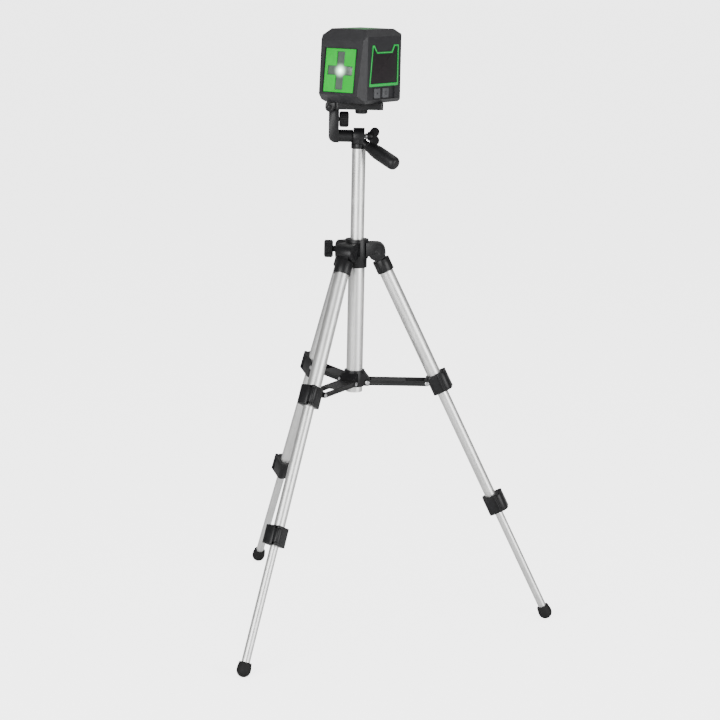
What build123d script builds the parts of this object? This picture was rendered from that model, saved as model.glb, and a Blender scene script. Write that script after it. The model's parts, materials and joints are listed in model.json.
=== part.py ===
from build123d import *
import os
from math import asin, cos, degrees, radians, sin, sqrt

# Cross-line laser level standing on a small folding tripod, as separate pieces.
# Origin: the point on the floor under the centre column. +Z is up, leg B points along +X,
# and the handle and the lit face of the laser look towards -Y. Millimetres.

os.makedirs("parts", exist_ok=True)

# ---------------------------------------------------------------- driving dimensions
# fits
BOND_GAP = 0.05          # radial gap of pieces that are pressed or glued together
PIN_GAP = 0.06           # radial running gap of a pin in its hole
SLIDE_GAP = 0.3          # radial gap of telescoping tubes and of the hub on its tube
FACE_GAP = 0.3           # gap between faces that pass each other

# legs: distances are measured down the leg from its pivot
LEGS = {"a": -120, "b": 0, "c": 120}
LEG_ANGLE = 26           # spread of each leg from the vertical
FOLDED_ANGLE = 3         # what is left of that angle with the legs folded in
LEG_PIVOT_RADIUS = 24
UPPER_TUBE_D = 17
MIDDLE_TUBE_D = 13.4
LOWER_TUBE_D = 10
LOWER_TUBE_WALL = 1
SOCKET_START = 11.2
SOCKET_END = 27
SOCKET_WALL = 2
UPPER_TUBE_START = 13
UPPER_LOCK_START = 168
UPPER_LOCK_LENGTH = 24
LOWER_LOCK_START = 338
LOWER_LOCK_LENGTH = 23
MIDDLE_TUBE_OVERLAP = 24
LOWER_TUBE_OVERLAP = 45
FOOT_START = 498
FOOT_SHANK = 9
FOOT_D = 17
FOOT_FLAT = 0.8          # rubber worn flat where the foot meets the floor
FOOT_FLOOR = 3

# locks
LOCK_WALL = 1.1          # wall beside the tube, where the brace fork passes
LOCK_DEPTH = 22          # in and out from the leg axis
LOCK_CORNER = 5
LEVER_THICKNESS = 3
LEVER_BARREL_D = 5
LEVER_PIN_D = 2.4
LEVER_CHEEK = 3

# brace
BRACE_PIN_RADIUS = 16    # hub pins from the column axis
BRACE_PIN_D = 3
BRACE_EAR_DROP = 5.5     # ear pin below the top of the upper lock
BRACE_EAR_REACH = 12.5   # ear pin in from the leg axis
BRACE_EAR_R = 3.4
BAR_HEIGHT = 6.4
BAR_WALL = 1.2
FORK_LENGTH = 26         # how far the web is cut back at the leg end
RIVET_HEAD_D = 5.2
RIVET_HEAD = 0.9
HUB_HEIGHT = 20
HUB_PIN_DROP = 14.3      # pin height below the top of the hub
HUB_WALL = 2.4
HUB_EAR_R = 4.3

# shoulder
KNUCKLE_R = 10.8
KNUCKLE_TONGUE_R = 9.2
KNUCKLE_CHEEK = 3.4
TONGUE_WIDTH = 14
LEG_PIN_D = 4
SHOULDER_D = 28
SHOULDER_TOP = 14.4      # above the leg pivots
SHOULDER_SLEEVE_D = 25
SHOULDER_SLEEVE_DROP = 19.9
SHOULDER_RING_DROP = 8.5
SHOULDER_ROOF = 5

# column
OUTER_TUBE_D = 20
OUTER_TUBE_WALL = 1.5
OUTER_TUBE_DROP = 174.2  # its lower end below the leg pivots
COLUMN_WALL = 1.2
COLUMN_SHOWN = 109.2     # from the shoulder to the head's collar
COLUMN_HIDDEN = 52
KNOB_HEIGHT = 1.9        # knob axis above the leg pivots
KNOB_D = 21.4
KNOB_THICKNESS = 11
KNOB_START = 28.8
KNOB_NECK_D = 7.4
KNOB_STUD_D = 5
KNOB_BOSS_D = 10
KNOB_BOSS_END = 24.3

# head
COLLAR_WALL = 1.25
COLLAR_HEIGHT = 6
COLLAR_ROOF = 2
SPINDLE_D = 8
SPINDLE_HEIGHT = 2.6
BARREL_HEIGHT = 14.8     # tilt axis above the lower edge of the collar
CLAMP_D = 20
CLAMP_LEFT = -6.9
CLAMP_RIGHT = 6.5
BARREL_D = 14.8
BARREL_SPIGOT_D = 11
WING_SCREW_D = 5
WING_HUB_D = 11
WING_REACH = 11
WING_THICKNESS = 4
WING_START = 7.2
WING_NECK = 4
WING_END = 24.5
WING_TIP = 8
WING_TURN = 25           # lean of the wings from upright
ARM_LEFT = -36.7
ARM_RIGHT = -24.4
ARM_WIDTH = 18
ARM_CORNER = 8
FLIP_X = -35.6           # axis on which the platform flips up
FLIP_HEIGHT = 49.7       # above the lower edge of the collar
FLIP_R = 5.6
FLIP_TRUNNION_D = 5
FLIP_KNUCKLE_WIDTH = 12
FLIP_LUG_WIDTH = 10
FLIP_KNOB_D = 19
FLIP_KNOB_HEIGHT = 34.6
FLIP_KNOB_THICKNESS = 11.5
FLIP_STUD_D = 5
FLIP_STUD_LENGTH = 8
PLATFORM_RIGHT = 27.7
PLATFORM_DEPTH = 46
PLATFORM_THICKNESS = 8.4
PLATFORM_TOP = 56        # above the lower edge of the collar
PLATFORM_WEB = 3.2
PLATFORM_RIM = 3
CAMERA_SCREW_X = 2
CAMERA_SCREW_D = 6.35    # quarter-inch screw
CAMERA_SCREW_REACH = 5.5
CAMERA_WHEEL_D = 15
CAMERA_WHEEL_THICKNESS = 5.9
HANDLE_TURN = -40        # compass angle of the handle
HANDLE_DROOP = 23.5      # below the horizontal
HANDLE_ROOT_DROP = 5     # its axis below the tilt axis, over the column
HANDLE_BOSS_D = 9.6
HANDLE_ROD_D = 6
HANDLE_ROD = 3
HANDLE_STEM = 5.5        # from the edge of the collar to the grip
HANDLE_TAPER = 16
HANDLE_LENGTH = 48
HANDLE_NECK_D = 12
HANDLE_D = 17

# laser: x runs to its lit face, y to its button side
LASER_TURN = -124.6      # compass angle of the lit face
LASER_HEIGHT = 86
LASER_WALL = 2.2
LASER_HALF_WIDTH = 32
LASER_FACE_HALF_WIDTH = 27
LASER_TOP_HALF_WIDTH = 24
LASER_BASE_HALF_WIDTH = 28
LASER_NOSE = 50.5        # lower edge of the lit face
LASER_NOSE_HEIGHT = 10
LASER_BROW = 43          # upper edge of the lit face
LASER_BROW_HEIGHT = 73.5
LASER_TOP_FRONT = 30
LASER_TOP_REAR = -30
LASER_REAR = -42
LASER_REAR_CHAMFER = 9
LASER_BASE_FRONT = 35
LASER_BASE_REAR = -36
LASER_SIDE_TOP = 78
LASER_SIDE_BOTTOM = 4.5
LASER_CORNER = 14
FACE_PLATE_WIDTH = 46
FACE_PLATE_HEIGHT = 52
FACE_PLATE_MARGIN = 2.6
FACE_PLATE_THICKNESS = 1.4
CROSS_WIDTH = 35
CROSS_HEIGHT = 44.5
CROSS_ARM = 11
WINDOW_LIP = 1.5
WINDOW_THICKNESS = 1
TOP_PANEL_LENGTH = 44
TOP_PANEL_WIDTH = 34
TOP_PANEL_DEPTH = 0.8
TRIM_DEPTH = 0.8
TRIM_PROUD = 0.5
TRIM_WIDTH = 1.7
TRIM_BASE = 20
TRIM_SILL = 3.2
TRIM_SADDLE = 60
TRIM_PEAK = 68
TRIM_REAR = -29
BUTTON_WIDTH = 12.5
BUTTON_HEIGHT = 11.5
BUTTON_Z = 12
BUTTON_XS = (14.5, -4)
BUTTON_PROUD = 0.2
BUTTON_LIP = 1.2
BUTTON_FLANGE = 1.3
BUTTON_TRAVEL = 1
BUTTON_GAP = 0.25
POCKET_FRONT = 24
POCKET_REAR = -22
POCKET_BOTTOM = 5
POCKET_TOP = 19
POCKET_DEPTH = 1.5
COVER_HALF_WIDTH = 21.7
COVER_BOTTOM = 12.4
COVER_TOP = 67.7
COVER_PIN_D = 1.4
BATTERY_D = 14.5
BATTERY_LENGTH = 50.5
BATTERY_X = -31
BATTERY_Y = 9
BATTERY_WALL = 1.6
GIMBAL_X = 8
GIMBAL_Z = 62
GIMBAL_R = 17
GIMBAL_WALL = 3
GIMBAL_DEPTH = 4
GIMBAL_PIN_D = 2
GIMBAL_POST = 6
PENDULUM_D = 18
PENDULUM_TOP = 8
PENDULUM_DROP = 34
DIODE_D = 9
DIODE_REACH = 24
DIODE_DROP = 14

# ---------------------------------------------------------------- derived sizes
COLUMN_D = OUTER_TUBE_D - 2 * (OUTER_TUBE_WALL + SLIDE_GAP)
COLLAR_D = COLUMN_D + 2 * (BOND_GAP + COLLAR_WALL)
HANDLE_START = COLLAR_D / 2 + HANDLE_STEM
HANDLE_TAPER_END = HANDLE_START + HANDLE_TAPER
HANDLE_END = HANDLE_START + HANDLE_LENGTH
UPPER_TUBE_WALL = (UPPER_TUBE_D - MIDDLE_TUBE_D) / 2 - SLIDE_GAP
MIDDLE_TUBE_WALL = (MIDDLE_TUBE_D - LOWER_TUBE_D) / 2 - SLIDE_GAP
UPPER_LOCK_END = UPPER_LOCK_START + UPPER_LOCK_LENGTH
LOWER_LOCK_END = LOWER_LOCK_START + LOWER_LOCK_LENGTH
UPPER_TUBE_END = UPPER_LOCK_START + UPPER_LOCK_LENGTH / 2
MIDDLE_TUBE_START = UPPER_TUBE_END - MIDDLE_TUBE_OVERLAP
MIDDLE_TUBE_END = LOWER_LOCK_START + LOWER_LOCK_LENGTH / 2
LOWER_TUBE_START = MIDDLE_TUBE_END - LOWER_TUBE_OVERLAP
FOOT_CENTRE = FOOT_START + FOOT_SHANK
PIVOT_HEIGHT = FOOT_CENTRE * cos(radians(LEG_ANGLE)) + FOOT_D / 2 - FOOT_FLAT
LOCK_HALF_WIDTH = UPPER_TUBE_D / 2 + LOCK_WALL
EAR_DISTANCE = UPPER_LOCK_START + BRACE_EAR_DROP
BAR_INNER = LOCK_HALF_WIDTH + FACE_GAP
BAR_OUTER = BAR_INNER + BAR_WALL
TONGUE_HALF_WIDTH = TONGUE_WIDTH / 2
CHEEK_INNER = TONGUE_HALF_WIDTH + FACE_GAP
CHEEK_OUTER = CHEEK_INNER + KNUCKLE_CHEEK


def ear_at(angle):
    """Radius and height of the brace ear's pin with the leg at an angle from the vertical."""
    lean = radians(angle)
    radius = LEG_PIVOT_RADIUS + EAR_DISTANCE * sin(lean) - BRACE_EAR_REACH * cos(lean)
    height = PIVOT_HEIGHT - EAR_DISTANCE * cos(lean) - BRACE_EAR_REACH * sin(lean)
    return radius, height


EAR_RADIUS, EAR_HEIGHT = ear_at(LEG_ANGLE)
BAR_LENGTH = EAR_RADIUS - BRACE_PIN_RADIUS
HUB_TOP = EAR_HEIGHT + HUB_PIN_DROP
SHOULDER_TOP_Z = PIVOT_HEIGHT + SHOULDER_TOP
OUTER_TUBE_BOTTOM = PIVOT_HEIGHT - OUTER_TUBE_DROP
OUTER_TUBE_TOP = SHOULDER_TOP_Z - SHOULDER_ROOF
COLLAR_Z = SHOULDER_TOP_Z + COLUMN_SHOWN
COLUMN_BOTTOM = SHOULDER_TOP_Z - COLUMN_HIDDEN
COLUMN_TOP = COLLAR_Z + COLLAR_HEIGHT - COLLAR_ROOF
KNOB_Z = PIVOT_HEIGHT + KNOB_HEIGHT
BARREL_Z = COLLAR_Z + BARREL_HEIGHT
CLAMP_FLOOR = COLLAR_Z + COLLAR_HEIGHT + FACE_GAP
FLIP_Z = COLLAR_Z + FLIP_HEIGHT
PLATFORM_Z = COLLAR_Z + PLATFORM_TOP
PLATFORM_FLOOR = PLATFORM_Z - PLATFORM_THICKNESS
FLIP_KNOB_Z = COLLAR_Z + FLIP_KNOB_HEIGHT
LASER_SIDE_FLOOR = LASER_HALF_WIDTH - POCKET_DEPTH
BATTERY_BASE = COVER_BOTTOM + FACE_GAP


# ---------------------------------------------------------------- frames
def outward(azimuth):
    """Horizontal direction away from the column."""
    return Vector(cos(radians(azimuth)), sin(radians(azimuth)), 0)


def across(azimuth):
    """Horizontal direction of a leg's hinge axis."""
    return Vector(-sin(radians(azimuth)), cos(radians(azimuth)), 0)


def down_leg(azimuth):
    """Direction from the leg's pivot to its foot."""
    return outward(azimuth) * sin(radians(LEG_ANGLE)) - Vector(0, 0, cos(radians(LEG_ANGLE)))


def leg_pivot(azimuth):
    """Centre of the leg's hinge."""
    return outward(azimuth) * LEG_PIVOT_RADIUS + Vector(0, 0, PIVOT_HEIGHT)


def leg_section(azimuth, distance):
    """Plane square to the leg: x along the hinge axis, y outward, z down the leg."""
    direction = down_leg(azimuth)
    return Plane(origin=leg_pivot(azimuth) + direction * distance, x_dir=across(azimuth), z_dir=direction)


def leg_side(azimuth):
    """Plane through the leg: x down the leg, y inward, z along the hinge axis."""
    return Plane(origin=leg_pivot(azimuth), x_dir=down_leg(azimuth), z_dir=across(azimuth))


def radial_plane(azimuth):
    """Upright plane through the column: x outward, y up."""
    return Plane(origin=(0, 0, 0), x_dir=outward(azimuth), z_dir=across(azimuth) * -1)


def laser_plane(height=0.0):
    """Level plane in the laser: x to the lit face, y to the button side."""
    origin = (CAMERA_SCREW_X, 0, PLATFORM_Z + height)
    return Plane(origin=origin, x_dir=outward(LASER_TURN), z_dir=(0, 0, 1))


def laser_side_plane():
    """Upright plane through the laser: x to the lit face, y up, z away from the buttons."""
    origin = (CAMERA_SCREW_X, 0, PLATFORM_Z)
    return Plane(origin=origin, x_dir=outward(LASER_TURN), z_dir=across(LASER_TURN) * -1)


def laser_cross_plane(distance=0.0):
    """Upright plane square to the laser: x to the button side, y up, z to the lit face."""
    origin = Vector(CAMERA_SCREW_X, 0, PLATFORM_Z) + outward(LASER_TURN) * distance
    return Plane(origin=origin, x_dir=across(LASER_TURN), z_dir=outward(LASER_TURN))


def face_plane(depth=0.0):
    """Plane of the leaning lit face, centred on its plate: y up the face, z out of it."""
    run = LASER_BROW - LASER_NOSE
    rise = LASER_BROW_HEIGHT - LASER_NOSE_HEIGHT
    slope = sqrt(run**2 + rise**2)
    middle = (FACE_PLATE_MARGIN + FACE_PLATE_HEIGHT / 2) / slope
    ahead = outward(LASER_TURN)
    normal = (ahead * rise - Vector(0, 0, run)) / slope
    centre = (
        Vector(CAMERA_SCREW_X, 0, PLATFORM_Z)
        + ahead * (LASER_NOSE + run * middle)
        + Vector(0, 0, LASER_NOSE_HEIGHT + rise * middle)
        + normal * depth
    )
    return Plane(origin=centre, x_dir=across(LASER_TURN), z_dir=normal)


def save(name, piece):
    """Label a finished piece and write its STEP file."""
    piece.part.label = name
    export_step(piece.part, f"parts/{name}.step")


# ---------------------------------------------------------------- legs
def leg_tube(azimuth, start, end, diameter, wall):
    """Straight tube on the leg axis."""
    with BuildPart() as tube:
        with BuildSketch(leg_section(azimuth, start)):
            Circle(diameter / 2)
            Circle(diameter / 2 - wall, mode=Mode.SUBTRACT)
        extrude(amount=end - start)
    return tube


def leg_socket(azimuth):
    """Hinge tongue with the cup that the upper tube is glued into."""
    radius = UPPER_TUBE_D / 2 + SOCKET_WALL
    with BuildPart() as socket:
        with BuildSketch(leg_side(azimuth)):
            Circle(KNUCKLE_TONGUE_R)
            with Locations((SOCKET_START / 2 + 1, 0)):
                Rectangle(SOCKET_START + 2, 2 * TONGUE_HALF_WIDTH)
        extrude(amount=TONGUE_HALF_WIDTH, both=True)
        with BuildSketch(leg_section(azimuth, SOCKET_START)):
            Circle(radius)
        extrude(amount=SOCKET_END - SOCKET_START)
        with BuildSketch(leg_section(azimuth, UPPER_TUBE_START)):
            Circle(UPPER_TUBE_D / 2 + BOND_GAP)
        extrude(amount=SOCKET_END - UPPER_TUBE_START, mode=Mode.SUBTRACT)
        with BuildSketch(leg_side(azimuth)):
            Circle(LEG_PIN_D / 2 + PIN_GAP)
        extrude(amount=TONGUE_HALF_WIDTH, both=True, mode=Mode.SUBTRACT)
    return socket


def lever_hinge_point():
    """Lever hinge in a lock's section: along the leg's hinge axis, and outward."""
    return LOCK_HALF_WIDTH - LEVER_BARREL_D / 2, LOCK_DEPTH / 2 + LEVER_BARREL_D / 2 - 1


def lock_body(azimuth, start, length, tube_above_d, tube_below_d, half_width, with_ear):
    """Clamp collar on the end of a leg tube, with cheeks for its lever."""
    hinge_x, hinge_y = lever_hinge_point()
    with BuildPart() as lock:
        with BuildSketch(leg_section(azimuth, start)):
            RectangleRounded(2 * half_width, LOCK_DEPTH, LOCK_CORNER)
        extrude(amount=length)
        for cheek_start in (start, start + length - LEVER_CHEEK):
            with BuildSketch(leg_section(azimuth, cheek_start)):
                with Locations((hinge_x, hinge_y)):
                    Circle(LEVER_BARREL_D / 2)
                with Locations((hinge_x, hinge_y - LEVER_BARREL_D / 2)):
                    Rectangle(LEVER_BARREL_D, LEVER_BARREL_D)
            extrude(amount=LEVER_CHEEK)
        if with_ear:
            with BuildSketch(leg_side(azimuth)):
                with Locations((EAR_DISTANCE, BRACE_EAR_REACH)):
                    Circle(BRACE_EAR_R)
                with Locations((EAR_DISTANCE, BRACE_EAR_REACH - BRACE_EAR_R)):
                    Rectangle(2 * BRACE_EAR_R, 2 * BRACE_EAR_R)
            extrude(amount=half_width, both=True)
        middle = start + length / 2
        with BuildSketch(leg_section(azimuth, start)):
            Circle(tube_above_d / 2 + BOND_GAP)
        extrude(amount=middle - start, mode=Mode.SUBTRACT)
        with BuildSketch(leg_section(azimuth, middle)):
            Circle(tube_below_d / 2 + SLIDE_GAP)
        extrude(amount=length / 2, mode=Mode.SUBTRACT)
        # room for the lever's barrel between the cheeks, and holes for its trunnions
        with BuildSketch(leg_section(azimuth, start + LEVER_CHEEK)):
            with Locations((hinge_x, hinge_y)):
                Circle(LEVER_BARREL_D / 2 + FACE_GAP)
        extrude(amount=length - 2 * LEVER_CHEEK, mode=Mode.SUBTRACT)
        with BuildSketch(leg_section(azimuth, start)):
            with Locations((hinge_x, hinge_y)):
                Circle(LEVER_PIN_D / 2 + PIN_GAP)
        extrude(amount=length, mode=Mode.SUBTRACT)
    return lock


def lock_lever(azimuth, start, length):
    """Flip lever that lies over the outer side of a lock, with moulded trunnions."""
    hinge_x, hinge_y = lever_hinge_point()
    inner = LOCK_DEPTH / 2 + FACE_GAP
    span = LOCK_HALF_WIDTH + hinge_x
    blade_start = start + LEVER_CHEEK + FACE_GAP
    blade_length = length - 2 * (LEVER_CHEEK + FACE_GAP)
    with BuildPart() as lever:
        with BuildSketch(leg_section(azimuth, blade_start)):
            with Locations((hinge_x, hinge_y)):
                Circle(LEVER_BARREL_D / 2)
            with Locations((hinge_x - span / 2, inner + LEVER_THICKNESS / 2)):
                Rectangle(span, LEVER_THICKNESS)
            with Locations((hinge_x - span, inner + LEVER_THICKNESS / 2)):
                Circle(LEVER_THICKNESS / 2)
        extrude(amount=blade_length)
        with BuildSketch(leg_section(azimuth, start)):
            with Locations((hinge_x, hinge_y)):
                Circle(LEVER_PIN_D / 2)
        extrude(amount=length)
    return lever


def foot(azimuth):
    """Rubber cap with a domed end, worn flat where it meets the floor."""
    with BuildPart() as cap:
        with BuildSketch(leg_section(azimuth, FOOT_START)):
            Circle(FOOT_D / 2)
        extrude(amount=FOOT_SHANK)
        with Locations(leg_pivot(azimuth) + down_leg(azimuth) * FOOT_CENTRE):
            Sphere(FOOT_D / 2)
        with BuildSketch(leg_section(azimuth, FOOT_START)):
            Circle(LOWER_TUBE_D / 2 + BOND_GAP)
        extrude(amount=FOOT_SHANK + FOOT_D / 2 - FOOT_FLOOR, mode=Mode.SUBTRACT)
        split(bisect_by=Plane.XY, keep=Keep.TOP)
    return cap


def brace_bar(azimuth):
    """Channel from the hub to the leg: two cheeks, and a web on top that stops short of the leg."""
    half = BAR_HEIGHT / 2
    with BuildPart() as bar:
        for side in (-1, 1):
            with BuildSketch(radial_plane(azimuth).offset(-side * BAR_INNER)):
                with Locations((BRACE_PIN_RADIUS + BAR_LENGTH / 2, EAR_HEIGHT)):
                    SlotOverall(BAR_LENGTH + BAR_HEIGHT, BAR_HEIGHT)
                with Locations((BRACE_PIN_RADIUS, EAR_HEIGHT)):
                    Circle(BRACE_PIN_D / 2 + PIN_GAP, mode=Mode.SUBTRACT)
                with Locations((EAR_RADIUS, EAR_HEIGHT)):
                    Circle(BRACE_PIN_D / 2 + BOND_GAP, mode=Mode.SUBTRACT)
            extrude(amount=-side * BAR_WALL)
        web_start = BRACE_PIN_RADIUS + HUB_EAR_R + FACE_GAP
        web_end = EAR_RADIUS - FORK_LENGTH
        with BuildSketch(radial_plane(azimuth)):
            with Locations(((web_start + web_end) / 2, EAR_HEIGHT + half - BAR_WALL / 2)):
                Rectangle(web_end - web_start, BAR_WALL)
        extrude(amount=BAR_INNER + BAR_WALL / 2, both=True)
    return bar


def fork_rivets(azimuth):
    """Pair of short rivets in the fork, which end flush with its inner faces."""
    with BuildPart() as rivets:
        for side in (-1, 1):
            with BuildSketch(radial_plane(azimuth).offset(-side * BAR_INNER)):
                with Locations((EAR_RADIUS, EAR_HEIGHT)):
                    Circle(BRACE_PIN_D / 2)
            extrude(amount=-side * BAR_WALL)
            with BuildSketch(radial_plane(azimuth).offset(-side * BAR_OUTER)):
                with Locations((EAR_RADIUS, EAR_HEIGHT)):
                    Circle(RIVET_HEAD_D / 2)
            extrude(amount=-side * RIVET_HEAD)
    return rivets


# ---------------------------------------------------------------- column and shoulder
def brace_hub():
    """Sleeve that slides on the outer tube, with a tongue for each brace bar."""
    slope = HUB_EAR_R * cos(radians(45))
    with BuildPart() as hub:
        with BuildSketch(Plane.XY.offset(HUB_TOP - HUB_HEIGHT)):
            Circle(OUTER_TUBE_D / 2 + HUB_WALL)
        extrude(amount=HUB_HEIGHT)
        for azimuth in LEGS.values():
            with BuildSketch(radial_plane(azimuth)):
                with BuildLine():
                    Polyline(
                        (0, EAR_HEIGHT - HUB_EAR_R),
                        (BRACE_PIN_RADIUS, EAR_HEIGHT - HUB_EAR_R),
                        (BRACE_PIN_RADIUS + slope, EAR_HEIGHT + slope),
                        (OUTER_TUBE_D / 2 + HUB_WALL, HUB_TOP - 3),
                        (0, HUB_TOP - 3),
                        close=True,
                    )
                make_face()
                with Locations((BRACE_PIN_RADIUS, EAR_HEIGHT)):
                    Circle(HUB_EAR_R)
            extrude(amount=LOCK_HALF_WIDTH, both=True)
        with BuildSketch(Plane.XY.offset(HUB_TOP - HUB_HEIGHT)):
            Circle(OUTER_TUBE_D / 2 + SLIDE_GAP)
        extrude(amount=HUB_HEIGHT, mode=Mode.SUBTRACT)
        for azimuth in LEGS.values():
            with BuildSketch(radial_plane(azimuth)):
                with Locations((BRACE_PIN_RADIUS, EAR_HEIGHT)):
                    Circle(BRACE_PIN_D / 2 + BOND_GAP)
            extrude(amount=LOCK_HALF_WIDTH, both=True, mode=Mode.SUBTRACT)
    return hub


def brace_hub_pins():
    """Headed pins through the hub's tongues and the brace bars."""
    with BuildPart() as pins:
        for azimuth in LEGS.values():
            with BuildSketch(radial_plane(azimuth)):
                with Locations((BRACE_PIN_RADIUS, EAR_HEIGHT)):
                    Circle(BRACE_PIN_D / 2)
            extrude(amount=BAR_OUTER + FACE_GAP, both=True)
            for side in (-1, 1):
                with BuildSketch(radial_plane(azimuth).offset(side * (BAR_OUTER + FACE_GAP))):
                    with Locations((BRACE_PIN_RADIUS, EAR_HEIGHT)):
                        Circle(RIVET_HEAD_D / 2)
                extrude(amount=side * RIVET_HEAD)
    return pins


def leg_pivot_pins():
    """Plain steel pins on which the legs fold."""
    with BuildPart() as pins:
        for azimuth in LEGS.values():
            with BuildSketch(leg_side(azimuth)):
                Circle(LEG_PIN_D / 2)
            extrude(amount=CHEEK_OUTER, both=True)
    return pins


def shoulder():
    """Moulded crown: a ring on the outer tube, three hinge yokes and the knob's boss."""
    yoke_root = SHOULDER_D / 2 - 3
    leg_room = degrees(asin(TONGUE_HALF_WIDTH / KNUCKLE_TONGUE_R)) + 3
    reach = 3 * KNUCKLE_R
    with BuildPart() as crown:
        with BuildSketch(Plane.XY.offset(PIVOT_HEIGHT - SHOULDER_RING_DROP)):
            Circle(SHOULDER_D / 2)
        extrude(amount=SHOULDER_TOP + SHOULDER_RING_DROP)
        with BuildSketch(Plane.XY.offset(PIVOT_HEIGHT - SHOULDER_SLEEVE_DROP)):
            Circle(SHOULDER_SLEEVE_D / 2)
        extrude(amount=SHOULDER_SLEEVE_DROP)
        for azimuth in LEGS.values():
            with BuildSketch(radial_plane(azimuth)):
                with Locations((LEG_PIVOT_RADIUS, PIVOT_HEIGHT)):
                    Circle(KNUCKLE_R)
                with Locations(((yoke_root + LEG_PIVOT_RADIUS) / 2, PIVOT_HEIGHT + KNUCKLE_R / 4)):
                    Rectangle(LEG_PIVOT_RADIUS - yoke_root, 3 * KNUCKLE_R / 2)
            extrude(amount=CHEEK_OUTER, both=True)
        with BuildSketch(Plane.YZ.offset(-KNOB_BOSS_END)):
            with Locations((0, KNOB_Z)):
                Circle(KNOB_BOSS_D / 2)
        extrude(amount=KNOB_BOSS_END)
        # slots for the leg tongues, open below over the swing of the leg
        for azimuth in LEGS.values():
            with BuildSketch(radial_plane(azimuth)):
                with Locations((LEG_PIVOT_RADIUS, PIVOT_HEIGHT)):
                    Circle(KNUCKLE_TONGUE_R + FACE_GAP)
                outer = radians(LEG_ANGLE - 90 + leg_room)
                inner = radians(FOLDED_ANGLE - 90 - leg_room)
                with BuildLine():
                    Polyline(
                        (LEG_PIVOT_RADIUS, PIVOT_HEIGHT),
                        (LEG_PIVOT_RADIUS + reach * cos(outer), PIVOT_HEIGHT + reach * sin(outer)),
                        (LEG_PIVOT_RADIUS + reach * cos(outer), PIVOT_HEIGHT - reach),
                        (LEG_PIVOT_RADIUS - KNUCKLE_R / 2, PIVOT_HEIGHT - reach),
                        (LEG_PIVOT_RADIUS + KNUCKLE_R * cos(inner), PIVOT_HEIGHT + KNUCKLE_R * sin(inner)),
                        close=True,
                    )
                make_face()
            extrude(amount=CHEEK_INNER, both=True, mode=Mode.SUBTRACT)
            with BuildSketch(radial_plane(azimuth)):
                with Locations((LEG_PIVOT_RADIUS, PIVOT_HEIGHT)):
                    Circle(LEG_PIN_D / 2 + BOND_GAP)
            extrude(amount=CHEEK_OUTER, both=True, mode=Mode.SUBTRACT)
        # the ring and sleeve stay whole around the tube
        with BuildSketch(Plane.XY.offset(PIVOT_HEIGHT - SHOULDER_SLEEVE_DROP)):
            Circle(SHOULDER_SLEEVE_D / 2)
        extrude(amount=SHOULDER_SLEEVE_DROP + SHOULDER_TOP)
        with BuildSketch(Plane.XY.offset(PIVOT_HEIGHT - SHOULDER_SLEEVE_DROP)):
            Circle(OUTER_TUBE_D / 2 + BOND_GAP)
        extrude(amount=OUTER_TUBE_TOP - PIVOT_HEIGHT + SHOULDER_SLEEVE_DROP, mode=Mode.SUBTRACT)
        with BuildSketch(Plane.XY.offset(OUTER_TUBE_TOP)):
            Circle(COLUMN_D / 2 + SLIDE_GAP)
        extrude(amount=SHOULDER_ROOF, mode=Mode.SUBTRACT)
        with BuildSketch(Plane.YZ.offset(-KNOB_BOSS_END)):
            with Locations((0, KNOB_Z)):
                Circle(KNOB_STUD_D / 2 + PIN_GAP)
        extrude(amount=KNOB_BOSS_END - OUTER_TUBE_D / 2 + 1, mode=Mode.SUBTRACT)
    return crown


def centre_tube():
    """Fixed outer tube of the column, with a hole for the knob's stud."""
    with BuildPart() as tube:
        with BuildSketch(Plane.XY.offset(OUTER_TUBE_BOTTOM)):
            Circle(OUTER_TUBE_D / 2)
            Circle(OUTER_TUBE_D / 2 - OUTER_TUBE_WALL, mode=Mode.SUBTRACT)
        extrude(amount=OUTER_TUBE_TOP - OUTER_TUBE_BOTTOM)
        with BuildSketch(Plane.YZ.offset(-OUTER_TUBE_D / 2)):
            with Locations((0, KNOB_Z)):
                Circle(KNOB_STUD_D / 2 + SLIDE_GAP)
        extrude(amount=OUTER_TUBE_D / 2, mode=Mode.SUBTRACT)
    return tube


def column():
    """Sliding tube that carries the head."""
    with BuildPart() as tube:
        with BuildSketch(Plane.XY.offset(COLUMN_BOTTOM)):
            Circle(COLUMN_D / 2)
            Circle(COLUMN_D / 2 - COLUMN_WALL, mode=Mode.SUBTRACT)
        extrude(amount=COLUMN_TOP - COLUMN_BOTTOM)
    return tube


def column_lock_knob():
    """Clamp screw: round knob, neck and a stud that bears on the column."""
    stud_tip = COLUMN_D / 2 + SLIDE_GAP
    with BuildPart() as knob:
        with BuildSketch(Plane.YZ.offset(-KNOB_START - KNOB_THICKNESS)):
            with Locations((0, KNOB_Z)):
                Circle(KNOB_D / 2)
        extrude(amount=KNOB_THICKNESS)
        with BuildSketch(Plane.YZ.offset(-KNOB_START)):
            with Locations((0, KNOB_Z)):
                Circle(KNOB_NECK_D / 2)
        extrude(amount=KNOB_START - KNOB_BOSS_END - FACE_GAP)
        with BuildSketch(Plane.YZ.offset(-KNOB_START)):
            with Locations((0, KNOB_Z)):
                Circle(KNOB_STUD_D / 2)
        extrude(amount=KNOB_START - stud_tip)
    return knob


# ---------------------------------------------------------------- head
def pan_collar():
    """Cap on the column with the spindle that the head pans on."""
    with BuildPart() as collar:
        with BuildSketch(Plane.XY.offset(COLLAR_Z)):
            Circle(COLLAR_D / 2)
        extrude(amount=COLLAR_HEIGHT)
        with BuildSketch(Plane.XY.offset(COLLAR_Z + COLLAR_HEIGHT)):
            Circle(SPINDLE_D / 2)
        extrude(amount=SPINDLE_HEIGHT - FACE_GAP)
        with BuildSketch(Plane.XY.offset(COLLAR_Z)):
            Circle(COLUMN_D / 2 + BOND_GAP)
        extrude(amount=COLLAR_HEIGHT - COLLAR_ROOF, mode=Mode.SUBTRACT)
    return collar


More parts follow.
